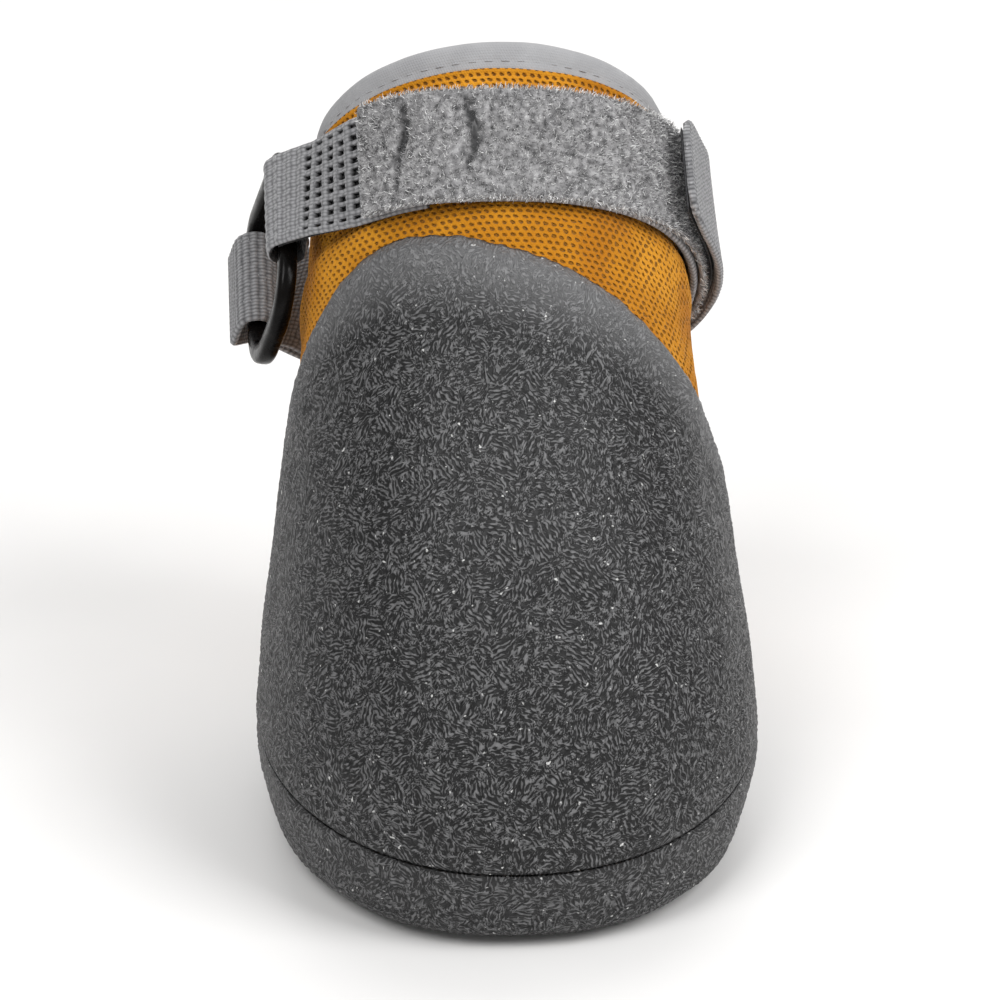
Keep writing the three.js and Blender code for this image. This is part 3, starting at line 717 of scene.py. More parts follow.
@dataclass
class Last:
    """The form that the boot is built on, with the depths of its layers."""

    length: float = 90.0
    ball_width: float = 69.6
    instep_height: float = 108.0
    heel_height: float = 65.6
    rubber_wall: float = 1.2
    fit: float = 0.35
    mesh_wall: float = 1.8
    mesh_top: float = 11.56
    # Front in, front up, back in, back up, width, squareness and forward bias of each section
    sections: tuple = (
        (0.078, 0.000, 0.878, 0.000, 0.761, 2.25, 0.05),
        (0.024, 0.031, 0.936, 0.052, 0.908, 2.20, 0.05),
        (0.003, 0.088, 0.973, 0.145, 0.980, 2.15, 0.05),
        (-0.004, 0.167, 0.991, 0.244, 1.000, 2.12, 0.05),
        (0.018, 0.259, 0.998, 0.297, 0.983, 2.10, 0.05),
        (0.061, 0.352, 1.002, 0.351, 0.957, 2.08, 0.04),
        (0.133, 0.463, 1.008, 0.419, 0.917, 2.06, 0.04),
        (0.222, 0.565, 1.016, 0.488, 0.879, 2.04, 0.03),
        (0.333, 0.662, 1.024, 0.561, 0.848, 2.02, 0.02),
        (0.456, 0.756, 1.033, 0.634, 0.828, 2.00, 0.01),
        (0.573, 0.857, 1.044, 0.716, 0.810, 2.00, 0.00),
        (0.651, 0.931, 1.062, 0.831, 0.787, 2.00, 0.00),
        (0.720, 1.000, 1.084, 1.000, 0.764, 2.00, 0.00),
        (0.789, 1.069, 1.106, 1.169, 0.741, 2.00, 0.00),
    )
    shift: np.ndarray = field(default_factory=lambda: np.zeros(3))
    table: np.ndarray = field(init=False)

    def __post_init__(self) -> None:
        """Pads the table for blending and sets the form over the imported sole."""
        rows = np.array(self.sections)
        self.table = np.vstack((2 * rows[0] - rows[1], rows, 2 * rows[-1] - rows[-2]))
        low, high = (np.array(corner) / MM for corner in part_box("sole"))
        turn = np.linspace(0, FULL_TURN, 721)
        level = np.linspace(0, 2.8, 29)[:, None]
        keep = level <= self.seam_level(turn)
        front = np.where(keep, self.point(level, turn)[..., 1], np.inf).min()
        self.shift = np.array(((low[0] + high[0]) / 2, low[1] - front, 0.0))

    @property
    def mesh_outside(self) -> float:
        """Depth of the mesh's outer face."""
        return self.rubber_wall + self.fit

    @property
    def mesh_inside(self) -> float:
        """Depth of the mesh's inner face."""
        return self.mesh_outside + self.mesh_wall

    @property
    def lining_outside(self) -> float:
        """Depth where the lining starts."""
        return self.mesh_inside + self.fit

    def seam_level(self, angle: np.ndarray) -> np.ndarray:
        """Level of the seam between sole and cap."""
        return 2.4 + 0.4 * np.sin(angle) ** 2

    def strap_level(self, angle: np.ndarray) -> np.ndarray:
        """Level of the strap's middle line."""
        return 10.5 - 0.11 * np.cos(2 * angle)

    def rubber_edge(self, angle: np.ndarray) -> np.ndarray:
        """Level of the rubber cap's upper edge, as a short Fourier series drawn after the photo.

        Args:
            angle: Radians round the boot.

        Returns:
            Sections up from the ground.
        """
        return (
            6.97 + 2.88 * np.cos(angle) - 0.43 * np.sin(angle) - 0.41 * np.cos(2 * angle)
            - 0.10 * np.sin(2 * angle) - 0.07 * np.cos(3 * angle) + 0.03 * np.sin(3 * angle)
        )

    def point(self, level: np.ndarray, angle: np.ndarray) -> np.ndarray:
        """Points on the rubber's outside surface.

        Args:
            level: Sections up from the ground.
            angle: Radians round the boot, 0 at the toe and positive to +X.

        Returns:
            Points in millimetres.
        """
        level, angle = np.broadcast_arrays(np.asarray(level, float), np.asarray(angle, float))
        held = np.clip(level, 0, len(self.sections) - 1 - 1e-9)
        index = np.floor(held).astype(int)
        share = (held - index)[..., None]
        before, start, end, after = (self.table[index + step] for step in range(4))
        bend = (2 * before - 5 * start + 4 * end - after) * share ** 2
        twist = (3 * start - before - 3 * end + after) * share ** 3
        mixed = start + 0.5 * ((end - before) * share + bend + twist)
        front_in, front_up, back_in, back_up, width, square, forward = np.moveaxis(mixed, -1, 0)
        cosine, sine = np.cos(angle), np.sin(angle)
        along = np.sign(cosine) * np.abs(cosine) ** (2 / square)
        aside = np.sign(sine) * np.abs(sine) ** (2 / square)
        front_y, back_y = front_in * self.length, back_in * self.length
        front_z, back_z = front_up * self.instep_height, back_up * self.heel_height
        x = width * self.ball_width / 2 * aside * (1 + forward * cosine)
        y = (front_y + back_y) / 2 - (back_y - front_y) / 2 * along
        z = (front_z + back_z) / 2 - (back_z - front_z) / 2 * along
        return np.stack((x, y, z), -1) + self.shift

    def normal(self, level: np.ndarray, angle: np.ndarray) -> np.ndarray:
        """Outward directions of the surface.

        Args:
            level: Sections up from the ground.
            angle: Radians round the boot.

        Returns:
            Unit vectors.
        """
        step = 1e-3
        top = len(self.sections) - 1
        above, below = np.minimum(level + step, top), np.maximum(level - step, 0)
        climb = self.point(above, angle) - self.point(below, angle)
        around = self.point(level, angle + step) - self.point(level, angle - step)
        return unit(np.cross(around, climb))

    def layer(self, level: np.ndarray, angle: np.ndarray, depth: np.ndarray) -> np.ndarray:
        """Points at a depth under the surface.

        Args:
            level: Sections up from the ground.
            angle: Radians round the boot.
            depth: Millimetres inwards.

        Returns:
            Points in millimetres.
        """
        depth = np.broadcast_to(np.asarray(depth, float), np.broadcast(level, angle).shape)
        return self.point(level, angle) - self.normal(level, angle) * depth[..., None]

    def climb(self, level: np.ndarray, angle: np.ndarray, distance: np.ndarray) -> np.ndarray:
        """Goes up or down along the surface.

        Args:
            level: Where it starts.
            angle: Radians round the boot.
            distance: Millimetres upwards.

        Returns:
            The level there.
        """
        step = 0.01
        low = np.minimum(level, len(self.sections) - 1 - step)
        speed = np.linalg.norm(self.point(low + step, angle) - self.point(low, angle), axis=-1) / step
        return level + distance / speed

    def level_at(self, height: float, angle: np.ndarray, depth: float) -> np.ndarray:
        """The level at which a layer passes a height.

        Args:
            height: Millimetres above the ground.
            angle: Radians round the boot.
            depth: The layer's depth.

        Returns:
            One level for each angle.
        """
        low, high = np.zeros_like(angle), np.full_like(angle, 3.0)
        for _ in range(30):
            middle = (low + high) / 2
            under = self.layer(middle, angle, depth)[..., 2] < height
            low, high = np.where(under, middle, low), np.where(under, high, middle)
        return (low + high) / 2


def turns(count: int, lean: float = 0.35) -> np.ndarray:
    """Angles round the boot from its back, closer together at the toe.

    Args:
        count: How many.
        lean: How much closer at the toe, from 0 to 1.

    Returns:
        Angles in radians.
    """
    even = np.arange(count) / count * FULL_TURN - math.pi
    return even - lean * np.sin(even)


# Sole, cap, upper, binding and insole


@dataclass
class Crinkle:
    """Short worm-like wrinkles whose way changes from place to place."""

    pitch: float = 1.15
    patch: float = 3.4
    round_reach: float = 210.0
    ways: int = 12
    seed: int = 11
    # How sharply one way gives way to the next, and how far the wrinkles bend and rise
    focus: float = 2.6
    bend: float = 1.98
    contrast: float = 0.62

    def heights(self, place: np.ndarray, angle: np.ndarray, rise: np.ndarray) -> np.ndarray:
        """Height of the wrinkles from 0 to 1.

        Args:
            place: Points in millimetres.
            angle: Radians round the boot; the wrinkles close on themselves.
            rise: Millimetres up the wall.

        Returns:
            One height a point.
        """
        draw = np.random.default_rng(self.seed)
        bend = self.bend * noise_at(place, 2.6, 3.1)
        total, power = np.zeros(rise.shape), np.zeros(rise.shape)
        for index in range(self.ways):
            slant = math.pi * (index + draw.uniform(0, 0.8)) / self.ways
            waves = round(self.round_reach / self.pitch * math.cos(slant))
            climb = FULL_TURN / self.pitch * math.sin(slant)
            share = np.clip(self.focus * noise_at(place, self.patch, 20.0 + 7.3 * index), 0, 1) ** 1.5
            total += share * np.cos(waves * angle + climb * rise + draw.uniform(0, FULL_TURN) + bend)
            power += share ** 2
        broken = 0.85 + 0.5 * noise_at(place, 1.6, 61.0)
        return np.clip(0.5 + self.contrast * total / np.sqrt(power + 0.25) * broken, 0, 1)


@dataclass
class RubberShell:
    """The cup sole and the toe cap, one crinkled rubber."""

    last: Last
    crinkle: Crinkle = field(default_factory=Crinkle)
    amplitude: float = 0.24
    columns: int = 430
    lean: float = 0.5
    sole_rows: int = 44
    cap_rows: int = 212
    seam_roll: float = 0.28
    seam_reach: float = 0.36
    feather: float = 3.2
    edge_proud: float = 0.14
    # Share of the wrinkles' paleness that the bottom lip keeps, as painted shade there, then shares of
    # painted light on the sole, the sides and the top of the cap, and the relief of the shade painted inside
    # the cup
    lip_shade: float = 0.45
    sole_painted_light: float = 0.03
    side_painted_light: float = 0.06
    top_painted_light: float = 0.42
    inside_shade: float = 0.3
    sole_floor: float = 3.0
    arch_span: float = 30.0
    arch_depth: float = 0.8
    arch_centre: float = 46.0
    arch_sides: int = 240
    groove_width: float = 2.0
    groove_depth: float = 1.0
    groove_centres: tuple = (15.0, 22.0, 29.0, 66.5, 73.5)
    sharp_from: float = math.radians(55)

    def grid(
        self, level: np.ndarray, angle: np.ndarray, rise: np.ndarray, depth: np.ndarray, wrinkle: np.ndarray
    ) -> tuple[np.ndarray, np.ndarray]:
        """Crinkled points.

        Args:
            level: Levels of the grid.
            angle: Angles of the grid.
            rise: Millimetres of each point up the wall.
            depth: Depth of each point before its wrinkles.
            wrinkle: How much of the wrinkles each point has, from 0 to 1.

        Returns:
            Points and wrinkle heights.
        """
        place = self.last.point(level, angle)
        height = self.crinkle.heights(place, np.broadcast_to(angle, level.shape), rise)
        lumps = 0.35 * noise_at(place, 11.0, 5.5) * wrinkle
        inward = depth - self.amplitude * (height - 0.35) * wrinkle - lumps
        return self.last.layer(level, angle, inward), height

    def make_sole(self) -> None:
        """Builds the cup sole with its grooves and hollow arch."""
        last, angle = self.last, turns(self.columns, self.lean)
        seam = last.seam_level(angle)
        level = seam * np.linspace(0, 1, self.sole_rows + 1)[:, None]
        rise = travelled(last.point(level, angle))
        from_seam = rise[-1] - rise
        depth = self.seam_roll * np.exp(-((from_seam / self.seam_reach) ** 2))
        fade = smooth(rise, 0.4, 3.0) * smooth(from_seam, 0.0, 1.2)
        outside, height = self.grid(level, angle, rise, depth, fade)
        outside[..., 2] = np.maximum(outside[..., 2], 0)
        outside[0, :, 2] = 0
        floor = last.level_at(self.sole_floor, angle, last.rubber_wall)
        inner_level = seam + (floor - seam) * np.linspace(0, 1, 4)[:, None]
        points, faces = capped(np.vstack((outside, last.layer(inner_level, angle, last.rubber_wall))))
        # Painted shade: the bottom lip keeps only part of the wrinkles' paleness, the paleness fades to dark
        # at the seam, and the inside of the cup is tinted dark
        lip = self.lip_shade + (1 - self.lip_shade) * smooth(rise, 1.0, 7.0)
        relief = np.full(len(points), self.inside_shade)
        relief[:height.size] = (height * lip * smooth(from_seam, -0.3, 0.8)).ravel()
        # Painted light: the wall is tinted paler higher up
        painted_light = np.zeros((len(points), 3))
        painted_light[:height.size, 2] = (self.sole_painted_light * smooth(rise, 5.0, 12.0)).ravel()
        made = Skin(points, faces, painted_light, relief).outward().to_object("sole_rubber", CrinkledRubber())
        self.cut(made)
        own(made, Slot.SOLE, "sole")

    def cut(self, made: bpy.types.Object) -> None:
        """Cuts the tread grooves and the hollow of the arch out of the sole.

        Args:
            made: The sole's object.
        """
        ends = (-self.last.ball_width, self.last.ball_width)
        points, faces = [], []
        box = ((0, 1, 3, 2), (4, 6, 7, 5), (0, 4, 5, 1), (2, 3, 7, 6), (0, 2, 6, 4), (1, 5, 7, 3))
        width, depth = self.groove_width / 2, self.groove_depth
        for centre in self.groove_centres:
            faces += [[len(points) + corner for corner in face] for face in box]
            sides = (centre - width, centre + width)
            points += [(x, y, z) for x in ends for y in sides for z in (-depth, depth)]
        # The arch is cut by a wide drum that lies across the sole
        start, sides = len(points), self.arch_sides
        radius = (self.arch_span ** 2 / 4 + self.arch_depth ** 2) / (2 * self.arch_depth)
        for x in ends:
            for turn in np.arange(sides) / sides * FULL_TURN:
                up = self.arch_depth - radius + radius * math.cos(turn)
                points.append((x, self.arch_centre + radius * math.sin(turn), up))
        for side in range(sides):
            after = (side + 1) % sides
            faces.append([start + side, start + after, start + sides + after, start + sides + side])
        faces.append([start + side for side in reversed(range(sides))])
        faces.append([start + sides + side for side in range(sides)])
        cutter = Skin(np.array(points) + self.last.shift, faces).to_object("cutter", CrinkledRubber())
        change = made.modifiers.new("tread", "BOOLEAN")
        change.operation, change.solver, change.object = "DIFFERENCE", "EXACT", cutter
        shape = made.evaluated_get(bpy.context.evaluated_depsgraph_get())
        mesh = bpy.data.meshes.new_from_object(shape)
        made.modifiers.clear()
        made.data = mesh
        bpy.data.objects.remove(cutter)
        mesh.set_sharp_from_angle(angle=self.sharp_from)

    def make_cap(self) -> None:
        """Builds the toe cap, rolled in at the seam and thin at its upper edge."""
        last, angle = self.last, turns(self.columns, self.lean)
        low = last.climb(last.seam_level(angle), angle, last.fit)
        high = last.rubber_edge(angle)
        edge = last.point(high, angle)
        high = last.climb(high, angle, 0.30 * noise_at(edge, 3.0, 8.8) + 0.18 * noise_at(edge, 1.1, 2.8))
        level = low + (high - low) * np.linspace(0, 1, self.cap_rows + 1)[:, None]
        rise = travelled(last.point(level, angle))
        to_edge = rise[-1] - rise
        roll = self.seam_roll * np.exp(-((rise / self.seam_reach) ** 2))
        thin = (last.mesh_outside - self.edge_proud) * (1 - smooth(to_edge, -0.6, self.feather)) ** 1.5
        fade = smooth(rise, 0.0, 1.2) * (0.15 + 0.85 * smooth(to_edge, 0.0, 2.5))
        depth = np.minimum(roll + thin, last.mesh_outside - 0.1)
        outside, height = self.grid(level, angle, rise, depth, fade)
        inner_level = high + (low - high) * np.linspace(0.02, 1, 7)[:, None]
        inner_depth = np.full_like(inner_level, last.rubber_wall + 0.2)
        inner_depth[0] = last.mesh_outside + 0.05
        stack = np.vstack((outside, last.layer(inner_level, angle, inner_depth)))
        relief = np.zeros(stack.shape[:2])
        # Painted shade: the paleness fades to dark at the seam
        relief[:len(height)] = height * smooth(rise, -0.4, 0.9)
        # Painted light: the sides and the top of the cap are tinted paler
        side = smooth(np.abs(np.sin(angle)), 0.6, 1.0) * smooth(rise, 8.0, 40.0)
        top = (1 - smooth(to_edge, 0.5, 14.0)) * smooth(rise, 20.0, 45.0)
        painted_light = np.zeros(stack.shape)
        painted_light[:len(height), :, 2] = np.maximum(self.side_painted_light * side, self.top_painted_light * top)
        skin = Skin(stack, lattice(len(stack), self.columns, True, True), painted_light, relief).outward()
        skin.piece("toe_cap_rubber", CrinkledRubber(), Slot.CAP, "toe_cap")


@dataclass
class MeshUpper:
    """The hollow air-mesh wall with its collar binding and the insole."""

    last: Last
    mesh: AirMesh = field(default_factory=AirMesh)
    columns: int = 610
    seen_rows: int = 122
    hidden_rows: int = 6
    inner_rows: int = 16
    holes_round: int = 150
    hole_depth: float = 0.32
    # How far the seen rows start under the rubber's edge, and the least height there
    tuck: float = 3.5
    tuck_least: float = 0.3
    press: float = 0.45
    puff: float = 0.5
    puff_place: float = 3.0
    puff_reach: float = 2.6
    cut_edge_proud: float = 0.2
    strap_half: float = 7.9
    sole_floor: float = 3.0
    cuff_rise: float = 4.4
    cuff_turn_in: float = 6.0
    cuff_inset: float = 0.35
    cuff_lining: float = 1.2
    cuff_round: float = 1.5
    cuff_face_rows: int = 14
    stitch_up: float = 1.25
    stitch_pitch: float = 2.5
    stitch_draw: float = 0.12
    stitch_radius: float = 0.11
    insole_thickness: float = 2.0
    insole_margin: float = 0.3
    # Share of the thickness and inset of each row of the insole's rim, then shares of its top
    insole_rim: tuple = ((0.0, 0.4), (0.15, 0.0), (0.7, 0.0), (0.9, 0.2), (1.0, 0.7))
    insole_top: tuple = (0.85, 0.6, 0.35, 0.12)

    def holes(self, flat: np.ndarray) -> np.ndarray:
        """How deep in a pinhole each place is, in the same pattern as the material.

        Args:
            flat: Flat coordinates of the cloth.

        Returns:
            Shares from 0 to 1.
        """
        row = flat[..., 1] / self.mesh.row
        column = flat[..., 0] / self.mesh.pitch + self.mesh.shear * row
        distance = np.hypot(column - np.round(column), row - np.round(row))
        return 1 - smooth(distance, self.mesh.hole_share - 0.12, self.mesh.hole_share + 0.16)

    def make_upper(self) -> None:
        """Builds the wall, pressed in under the strap and puffed out beside it."""
        last, angle = self.last, turns(self.columns)
        bottom = last.level_at(self.sole_floor + last.fit, angle, last.mesh_outside)
        under = last.climb(last.rubber_edge(angle), angle, -self.tuck)
        under = np.maximum(under, bottom + self.tuck_least)
        top = np.full_like(angle, last.mesh_top)
        hidden = bottom + (under - bottom) * np.linspace(0, 1, self.hidden_rows, endpoint=False)[:, None]
        seen = under + (top - under) * np.linspace(0, 1, self.seen_rows + 1)[:, None]
        base = last.layer(seen, angle, last.mesh_outside)
        rise = travelled(base)
        to_top = rise[-1] - rise
        above_edge = rise - self.tuck
        flat = np.zeros(base.shape)
        flat[..., 0] = angle / FULL_TURN * self.holes_round * self.mesh.pitch
        flat[..., 1] = -to_top
        line = last.layer(last.strap_level(angle), angle, last.mesh_outside)
        strap = np.linalg.norm(base - line, axis=-1)
        beside = np.exp(-(((strap - self.strap_half - self.puff_place) / self.puff_reach) ** 2))
        covered = 1 - smooth(strap, self.strap_half - 1.5, self.strap_half + 0.5)
        soft = 0.35 * noise_at(base, 9.0, 1.7) + 0.15 * noise_at(base, 4.0, 6.1)
        raised = self.puff * beside * smooth(to_top, 0.3, 3.0) + soft * (1 - covered) - self.press * covered
        outward = smooth(above_edge, 0.5, 5.0) * raised
        open_here = smooth(above_edge, -1.0, 0.5) * smooth(to_top, 0.3, 0.9)
        outward -= self.hole_depth * self.holes(flat) * open_here
        # The cut edge stands a little proud of the binding
        outward += self.cut_edge_proud * (1 - smooth(to_top, 0.0, 0.9))
        low_inside = last.level_at(self.sole_floor + last.fit, angle, last.mesh_inside)
        inner = top + (low_inside - top) * np.linspace(0, 1, self.inner_rows)[:, None]
        back = last.layer(inner, angle, last.mesh_inside)
        face = last.layer(seen, angle, last.mesh_outside - outward)
        stack = np.vstack((last.layer(hidden, angle, last.mesh_outside), face, back))
        # The hidden rows and the lining carry the face's columns on; the lining is marked with 1
        above, below = len(hidden), len(hidden) + len(seen)
        spread = np.zeros(stack.shape)
        spread[..., 0] = flat[0, :, 0]
        spread[:above, :, 1] = flat[0, :, 1] + (np.arange(above) - above)[:, None]
        spread[above:below, :, 1] = flat[..., 1]
        spread[below:, :, 1] = -np.linalg.norm(back - back[:1], axis=-1)
        spread[below:, :, 2] = 1.0
        skin = Skin(stack, lattice(len(stack), self.columns, True, True), spread).outward()
        skin.piece("upper_mesh", self.mesh, Slot.MESH, "upper")

    def binding_profile(self) -> np.ndarray:
        """Goes round the binding's section, from its foot on the face over the top to its foot inside.

        Returns:
            Height above the mesh's edge and depth of each row.
        """
        face, lining = self.last.mesh_outside + self.cuff_inset, self.last.lining_outside + self.cuff_lining
        straight = self.cuff_rise - self.cuff_round
        middle, half = (face + lining) / 2, (lining - face) / 2
        rows = [(up, face) for up in np.linspace(-0.15, straight, self.cuff_face_rows)]
        for turn in np.linspace(0, math.pi, 14)[1:]:
            rows.append((straight + self.cuff_round * math.sin(turn) ** 0.8, middle - half * math.cos(turn)))
        rows += [(up, lining) for up in np.linspace(straight, -self.cuff_turn_in, 9)[1:]]
        rows += [(up, self.last.lining_outside) for up in np.linspace(-self.cuff_turn_in, -0.15, 5)]
        return np.array(rows)

    def make_binding(self) -> None:
        """Builds the folded binding, drawn in a little at its row of stitches."""
        last, angle = self.last, turns(self.columns)
        up, depth = np.hsplit(self.binding_profile(), 2)
        level = last.climb(last.mesh_top, angle, np.broadcast_to(up, (len(up), len(angle))))
        place = last.point(level, angle)
        outer = (np.arange(len(up)) < self.cuff_face_rows)[:, None]
        pulled = (0.75 + 0.25 * np.cos(angle * self.stitches())) * outer
        draw = self.stitch_draw * np.exp(-(((up - self.stitch_up) / 0.55) ** 2)) * pulled
        soft = 0.14 * noise_at(place, 6.0, 4.4) + 0.04 * noise_at(place, 2.0, 9.4)
        stack = last.layer(level, angle, depth + draw - soft * (up > 0))
        flat = np.zeros(stack.shape)
        flat[..., 0] = angle * last.length / 3
        flat[..., 1] = travelled(stack)
        skin = Skin(stack, lattice(len(stack), self.columns, True, True), flat).outward()
        skin.piece("collar_binding_tape", StretchBinding(), Slot.BINDING, "collar_binding")

    def stitches(self) -> int:
        """How many stitches go round the collar.

        Returns:
            A whole number of stitches.
        """
        line = self.last.point(self.last.mesh_top, np.linspace(0, FULL_TURN, 400))
        return round(travelled(line)[-1] / self.stitch_pitch)

    def make_stitches(self) -> None:
        """Sews a row of stitches round the foot of the binding."""
        last, count = self.last, self.stitches()
        angle = (np.arange(count) + 0.5) / count * FULL_TURN
        level = last.climb(last.mesh_top, angle, np.full(count, self.stitch_up))
        at = last.layer(level, angle, last.mesh_outside + self.cuff_inset + self.stitch_draw)
        along = unit(last.point(level, angle + 0.01) - last.point(level, angle - 0.01))
        row = stitch_skin(at, along, last.normal(level, angle), self.stitch_pitch * 0.34, self.stitch_radius)
        row.piece("collar_stitches", SewingThread(), Slot.BINDING)

    def make_insole(self) -> None:
        """Builds the foam board with a rounded top edge."""
        last, angle = self.last, turns(240, 0.0)
        margin = last.lining_outside + self.insole_margin
        rows = []
        for share, inset in self.insole_rim:
            height = self.sole_floor + last.fit + share * self.insole_thickness
            level = last.level_at(height, angle, margin + inset)
            rows.append(last.layer(level, angle, margin + inset))
        rim = rows[-1]
        centre = rim.mean(0)
        rows += [centre + (rim - centre) * share for share in self.insole_top]
        points, faces = capped(np.array(rows))
        skin = Skin(points, faces, points * np.array((1.0, 1.0, 0.0))).outward()
        skin.piece("insole_board", FoamBoard(), Slot.INSOLE, "insole")


def stitch_skin(at: np.ndarray, along: np.ndarray, out: np.ndarray, half: float, radius: float) -> Skin:
    """Short stitches of thread, pulled in at both ends.

    Args:
        at: Middle of each stitch.
        along: Direction of each stitch.
        out: Direction away from the cloth.
        half: Half of a stitch's length.
        radius: The thread's radius.

    Returns:
        All the stitches as one skin.
    """
    shares, sides = np.linspace(-1, 1, 7), 6
    side = np.cross(out, along)
    rings = []
    for share in shares:
        thick = radius * max(0.15, (1 - abs(share) ** 3))
        lift = radius * 0.5 - 0.45 * share ** 4
        for step in range(sides):
            turn = step / sides * FULL_TURN
            raised = out * (lift + thick * math.cos(turn))
            rings.append(at + along * half * share + raised + side * thick * math.sin(turn))
    count = len(shares) * sides
    template = lattice(len(shares), sides, False, True)
    template += [list(range(sides))[::-1], [count - sides + step for step in range(sides)]]
    faces = [[stitch * count + corner for corner in face] for stitch in range(len(at)) for face in template]
    flat = np.zeros((len(at), count, 3))
    flat[..., 0] = np.repeat(shares * half, sides)
    flat[..., 1] = np.tile(np.arange(sides) * 0.25, len(shares))
    return Skin(np.stack(rings, 1), faces, flat)


# The strap and its ring


@dataclass
class Station:
    """One place along a strap: its middle, where its face looks and which way is across."""

    at: np.ndarray
    out: np.ndarray
    across: np.ndarray
    wide: float = 1.0


@dataclass
class Run:
    """A smooth line of stations."""

    at: np.ndarray
    out: np.ndarray
    across: np.ndarray
    wide: np.ndarray
    mark: np.ndarray

    def part(self, keep: np.ndarray) -> "Run":
        """The stations for which keep is true."""
        return Run(self.at[keep], self.out[keep], self.across[keep], self.wide[keep], self.mark[keep])

    def lifted(self, height: np.ndarray) -> "Run":
        """The same line moved outwards."""
        height = np.broadcast_to(height, self.mark.shape)
        return Run(self.at + self.out * height[:, None], self.out, self.across, self.wide, self.mark)

    def length(self) -> np.ndarray:
        """Distance of each station from the start."""
        return travelled(self.at)

    def spots(self, lengths: np.ndarray) -> tuple[np.ndarray, np.ndarray, np.ndarray, np.ndarray]:
        """Places at any lengths along the line.

        Args:
            lengths: Millimetres from the start.

        Returns:
            Points, and the directions out, across and along there.
        """
        length = self.length()
        at, out, across = (
            np.stack([np.interp(lengths, length, column[:, axis]) for axis in range(3)], -1)
            for column in (self.at, self.out, self.across)
        )
        out, across = unit(out), unit(across)
        return at, out, across, np.cross(out, across)


def smooth_run(marks: list, step: float) -> Run:
    """Stations at even steps on a smooth line through the given ones.

    Args:
        marks: The stations that the line passes.
        step: The distance between stations in millimetres.

    Returns:
        The line.
    """
    points = np.array([mark.at for mark in marks])
    padded = np.vstack((2 * points[0] - points[1], points, 2 * points[-1] - points[-2]))
    parts = []
    for index in range(len(marks) - 1):
        zero, one, two, three = padded[index:index + 4]
        pairs = ((zero, one), (one, two), (two, three))
        came, here, goes = (math.sqrt(np.linalg.norm(end - start)) for start, end in pairs)
        leave = ((one - zero) / came - (two - zero) / (came + here) + (two - one) / here) * here
        reach = ((two - one) / here - (three - one) / (here + goes) + (three - two) / goes) * here
        count = max(2, round(np.linalg.norm(two - one) / step))
        share = np.linspace(0, 1, count, endpoint=index == len(marks) - 2)[:, None]
        at = one + leave * share + (3 * (two - one) - 2 * leave - reach) * share ** 2
        at = at + (2 * (one - two) + leave + reach) * share ** 3
        start, end = marks[index], marks[index + 1]
        out = unit(start.out + (end.out - start.out) * share)
        across = start.across + (end.across - start.across) * share
        wide = start.wide + (end.wide - start.wide) * share[:, 0]
        parts.append((at, out, across, wide, index + share[:, 0]))
    at, out, across, wide, mark = (np.concatenate(column) for column in zip(*parts))
    across = unit(across - np.einsum("ij,ij->i", across, out)[:, None] * out)
    return Run(at, out, across, wide, mark)


@dataclass
class Band:
    """A flat strap laid along a run, with rounded edges."""

    run: Run
    width: float
    thickness: float
    cells: int = 40

    def make(
        self, over: Callable | None = None, under: Callable | None = None, keep: np.ndarray | None = None
    ) -> Skin:
        """Lays the strap.

        Args:
            over: Height added to the outer face at a length and a place across.
            under: The same for the inner face.
            keep: Which cells of the strap are there; all if it isn't given.

        Returns:
            A closed skin, whose inner face is marked with 1 in its flat coordinates.
        """
        run, half = self.run, self.width / 2
        place = np.linspace(-1, 1, self.cells + 1)
        round_share = self.thickness / self.width
        inner = np.clip((np.abs(place) - (1 - round_share)) / round_share, 0, 1)
        edge = np.sqrt(np.maximum(1 - inner ** 2, 0.02))
        length = np.broadcast_to(run.length()[:, None], (len(run.at), len(place)))
        aside = half * place[None, :] * run.wide[:, None]
        spots = []
        for side, relief in ((1, over), (-1, under)):
            lift = side * (self.thickness / 2 * edge + (relief(length, aside) * edge if relief else 0))
            lift = np.broadcast_to(lift, aside.shape)[..., None]
            spots.append(run.at[:, None] + run.across[:, None] * aside[..., None] + run.out[:, None] * lift)
        rows, columns = aside.shape
        behind = rows * columns
        index = np.arange(behind).reshape(rows, columns)
        there = np.ones((rows - 1, columns - 1), bool) if keep is None else keep
        corners = (index[:-1, :-1], index[1:, :-1], index[1:, 1:], index[:-1, 1:])
        fronts = np.stack(corners, -1)[there]
        # Each side of a cell: where its neighbour lies, and the ends of the wall where that is missing
        borders = (
            ((0, 1), (0, 0), (0, 1)), ((2, 1), (1, 1), (1, 0)),
            ((1, 0), (1, 0), (0, 0)), ((1, 2), (0, 1), (1, 1)),
        )
        padded = np.pad(there, 1)
        walls = []
        for (down, along), *ends in borders:
            beyond = padded[down:down + rows - 1, along:along + columns - 1]
            spot = np.argwhere(there & ~beyond)
            one, two = (index[spot[:, 0] + row, spot[:, 1] + column] for row, column in ends)
            walls.append(np.stack((one, two, two + behind, one + behind), -1))
        backs = fronts[:, (0, 3, 2, 1)] + behind
        faces = np.vstack((fronts, backs, *walls))
        used, lookup = np.unique(faces, return_inverse=True)
        twice = (np.tile(value.ravel(), 2) for value in (length, aside))
        flat = np.stack((*twice, np.repeat((0.0, 1.0), behind)), -1)[used]
        points = np.stack(spots).reshape(-1, 3)[used]
        return Skin(points, lookup.reshape(faces.shape).tolist(), flat, np.full(len(used), 0.35)).outward()


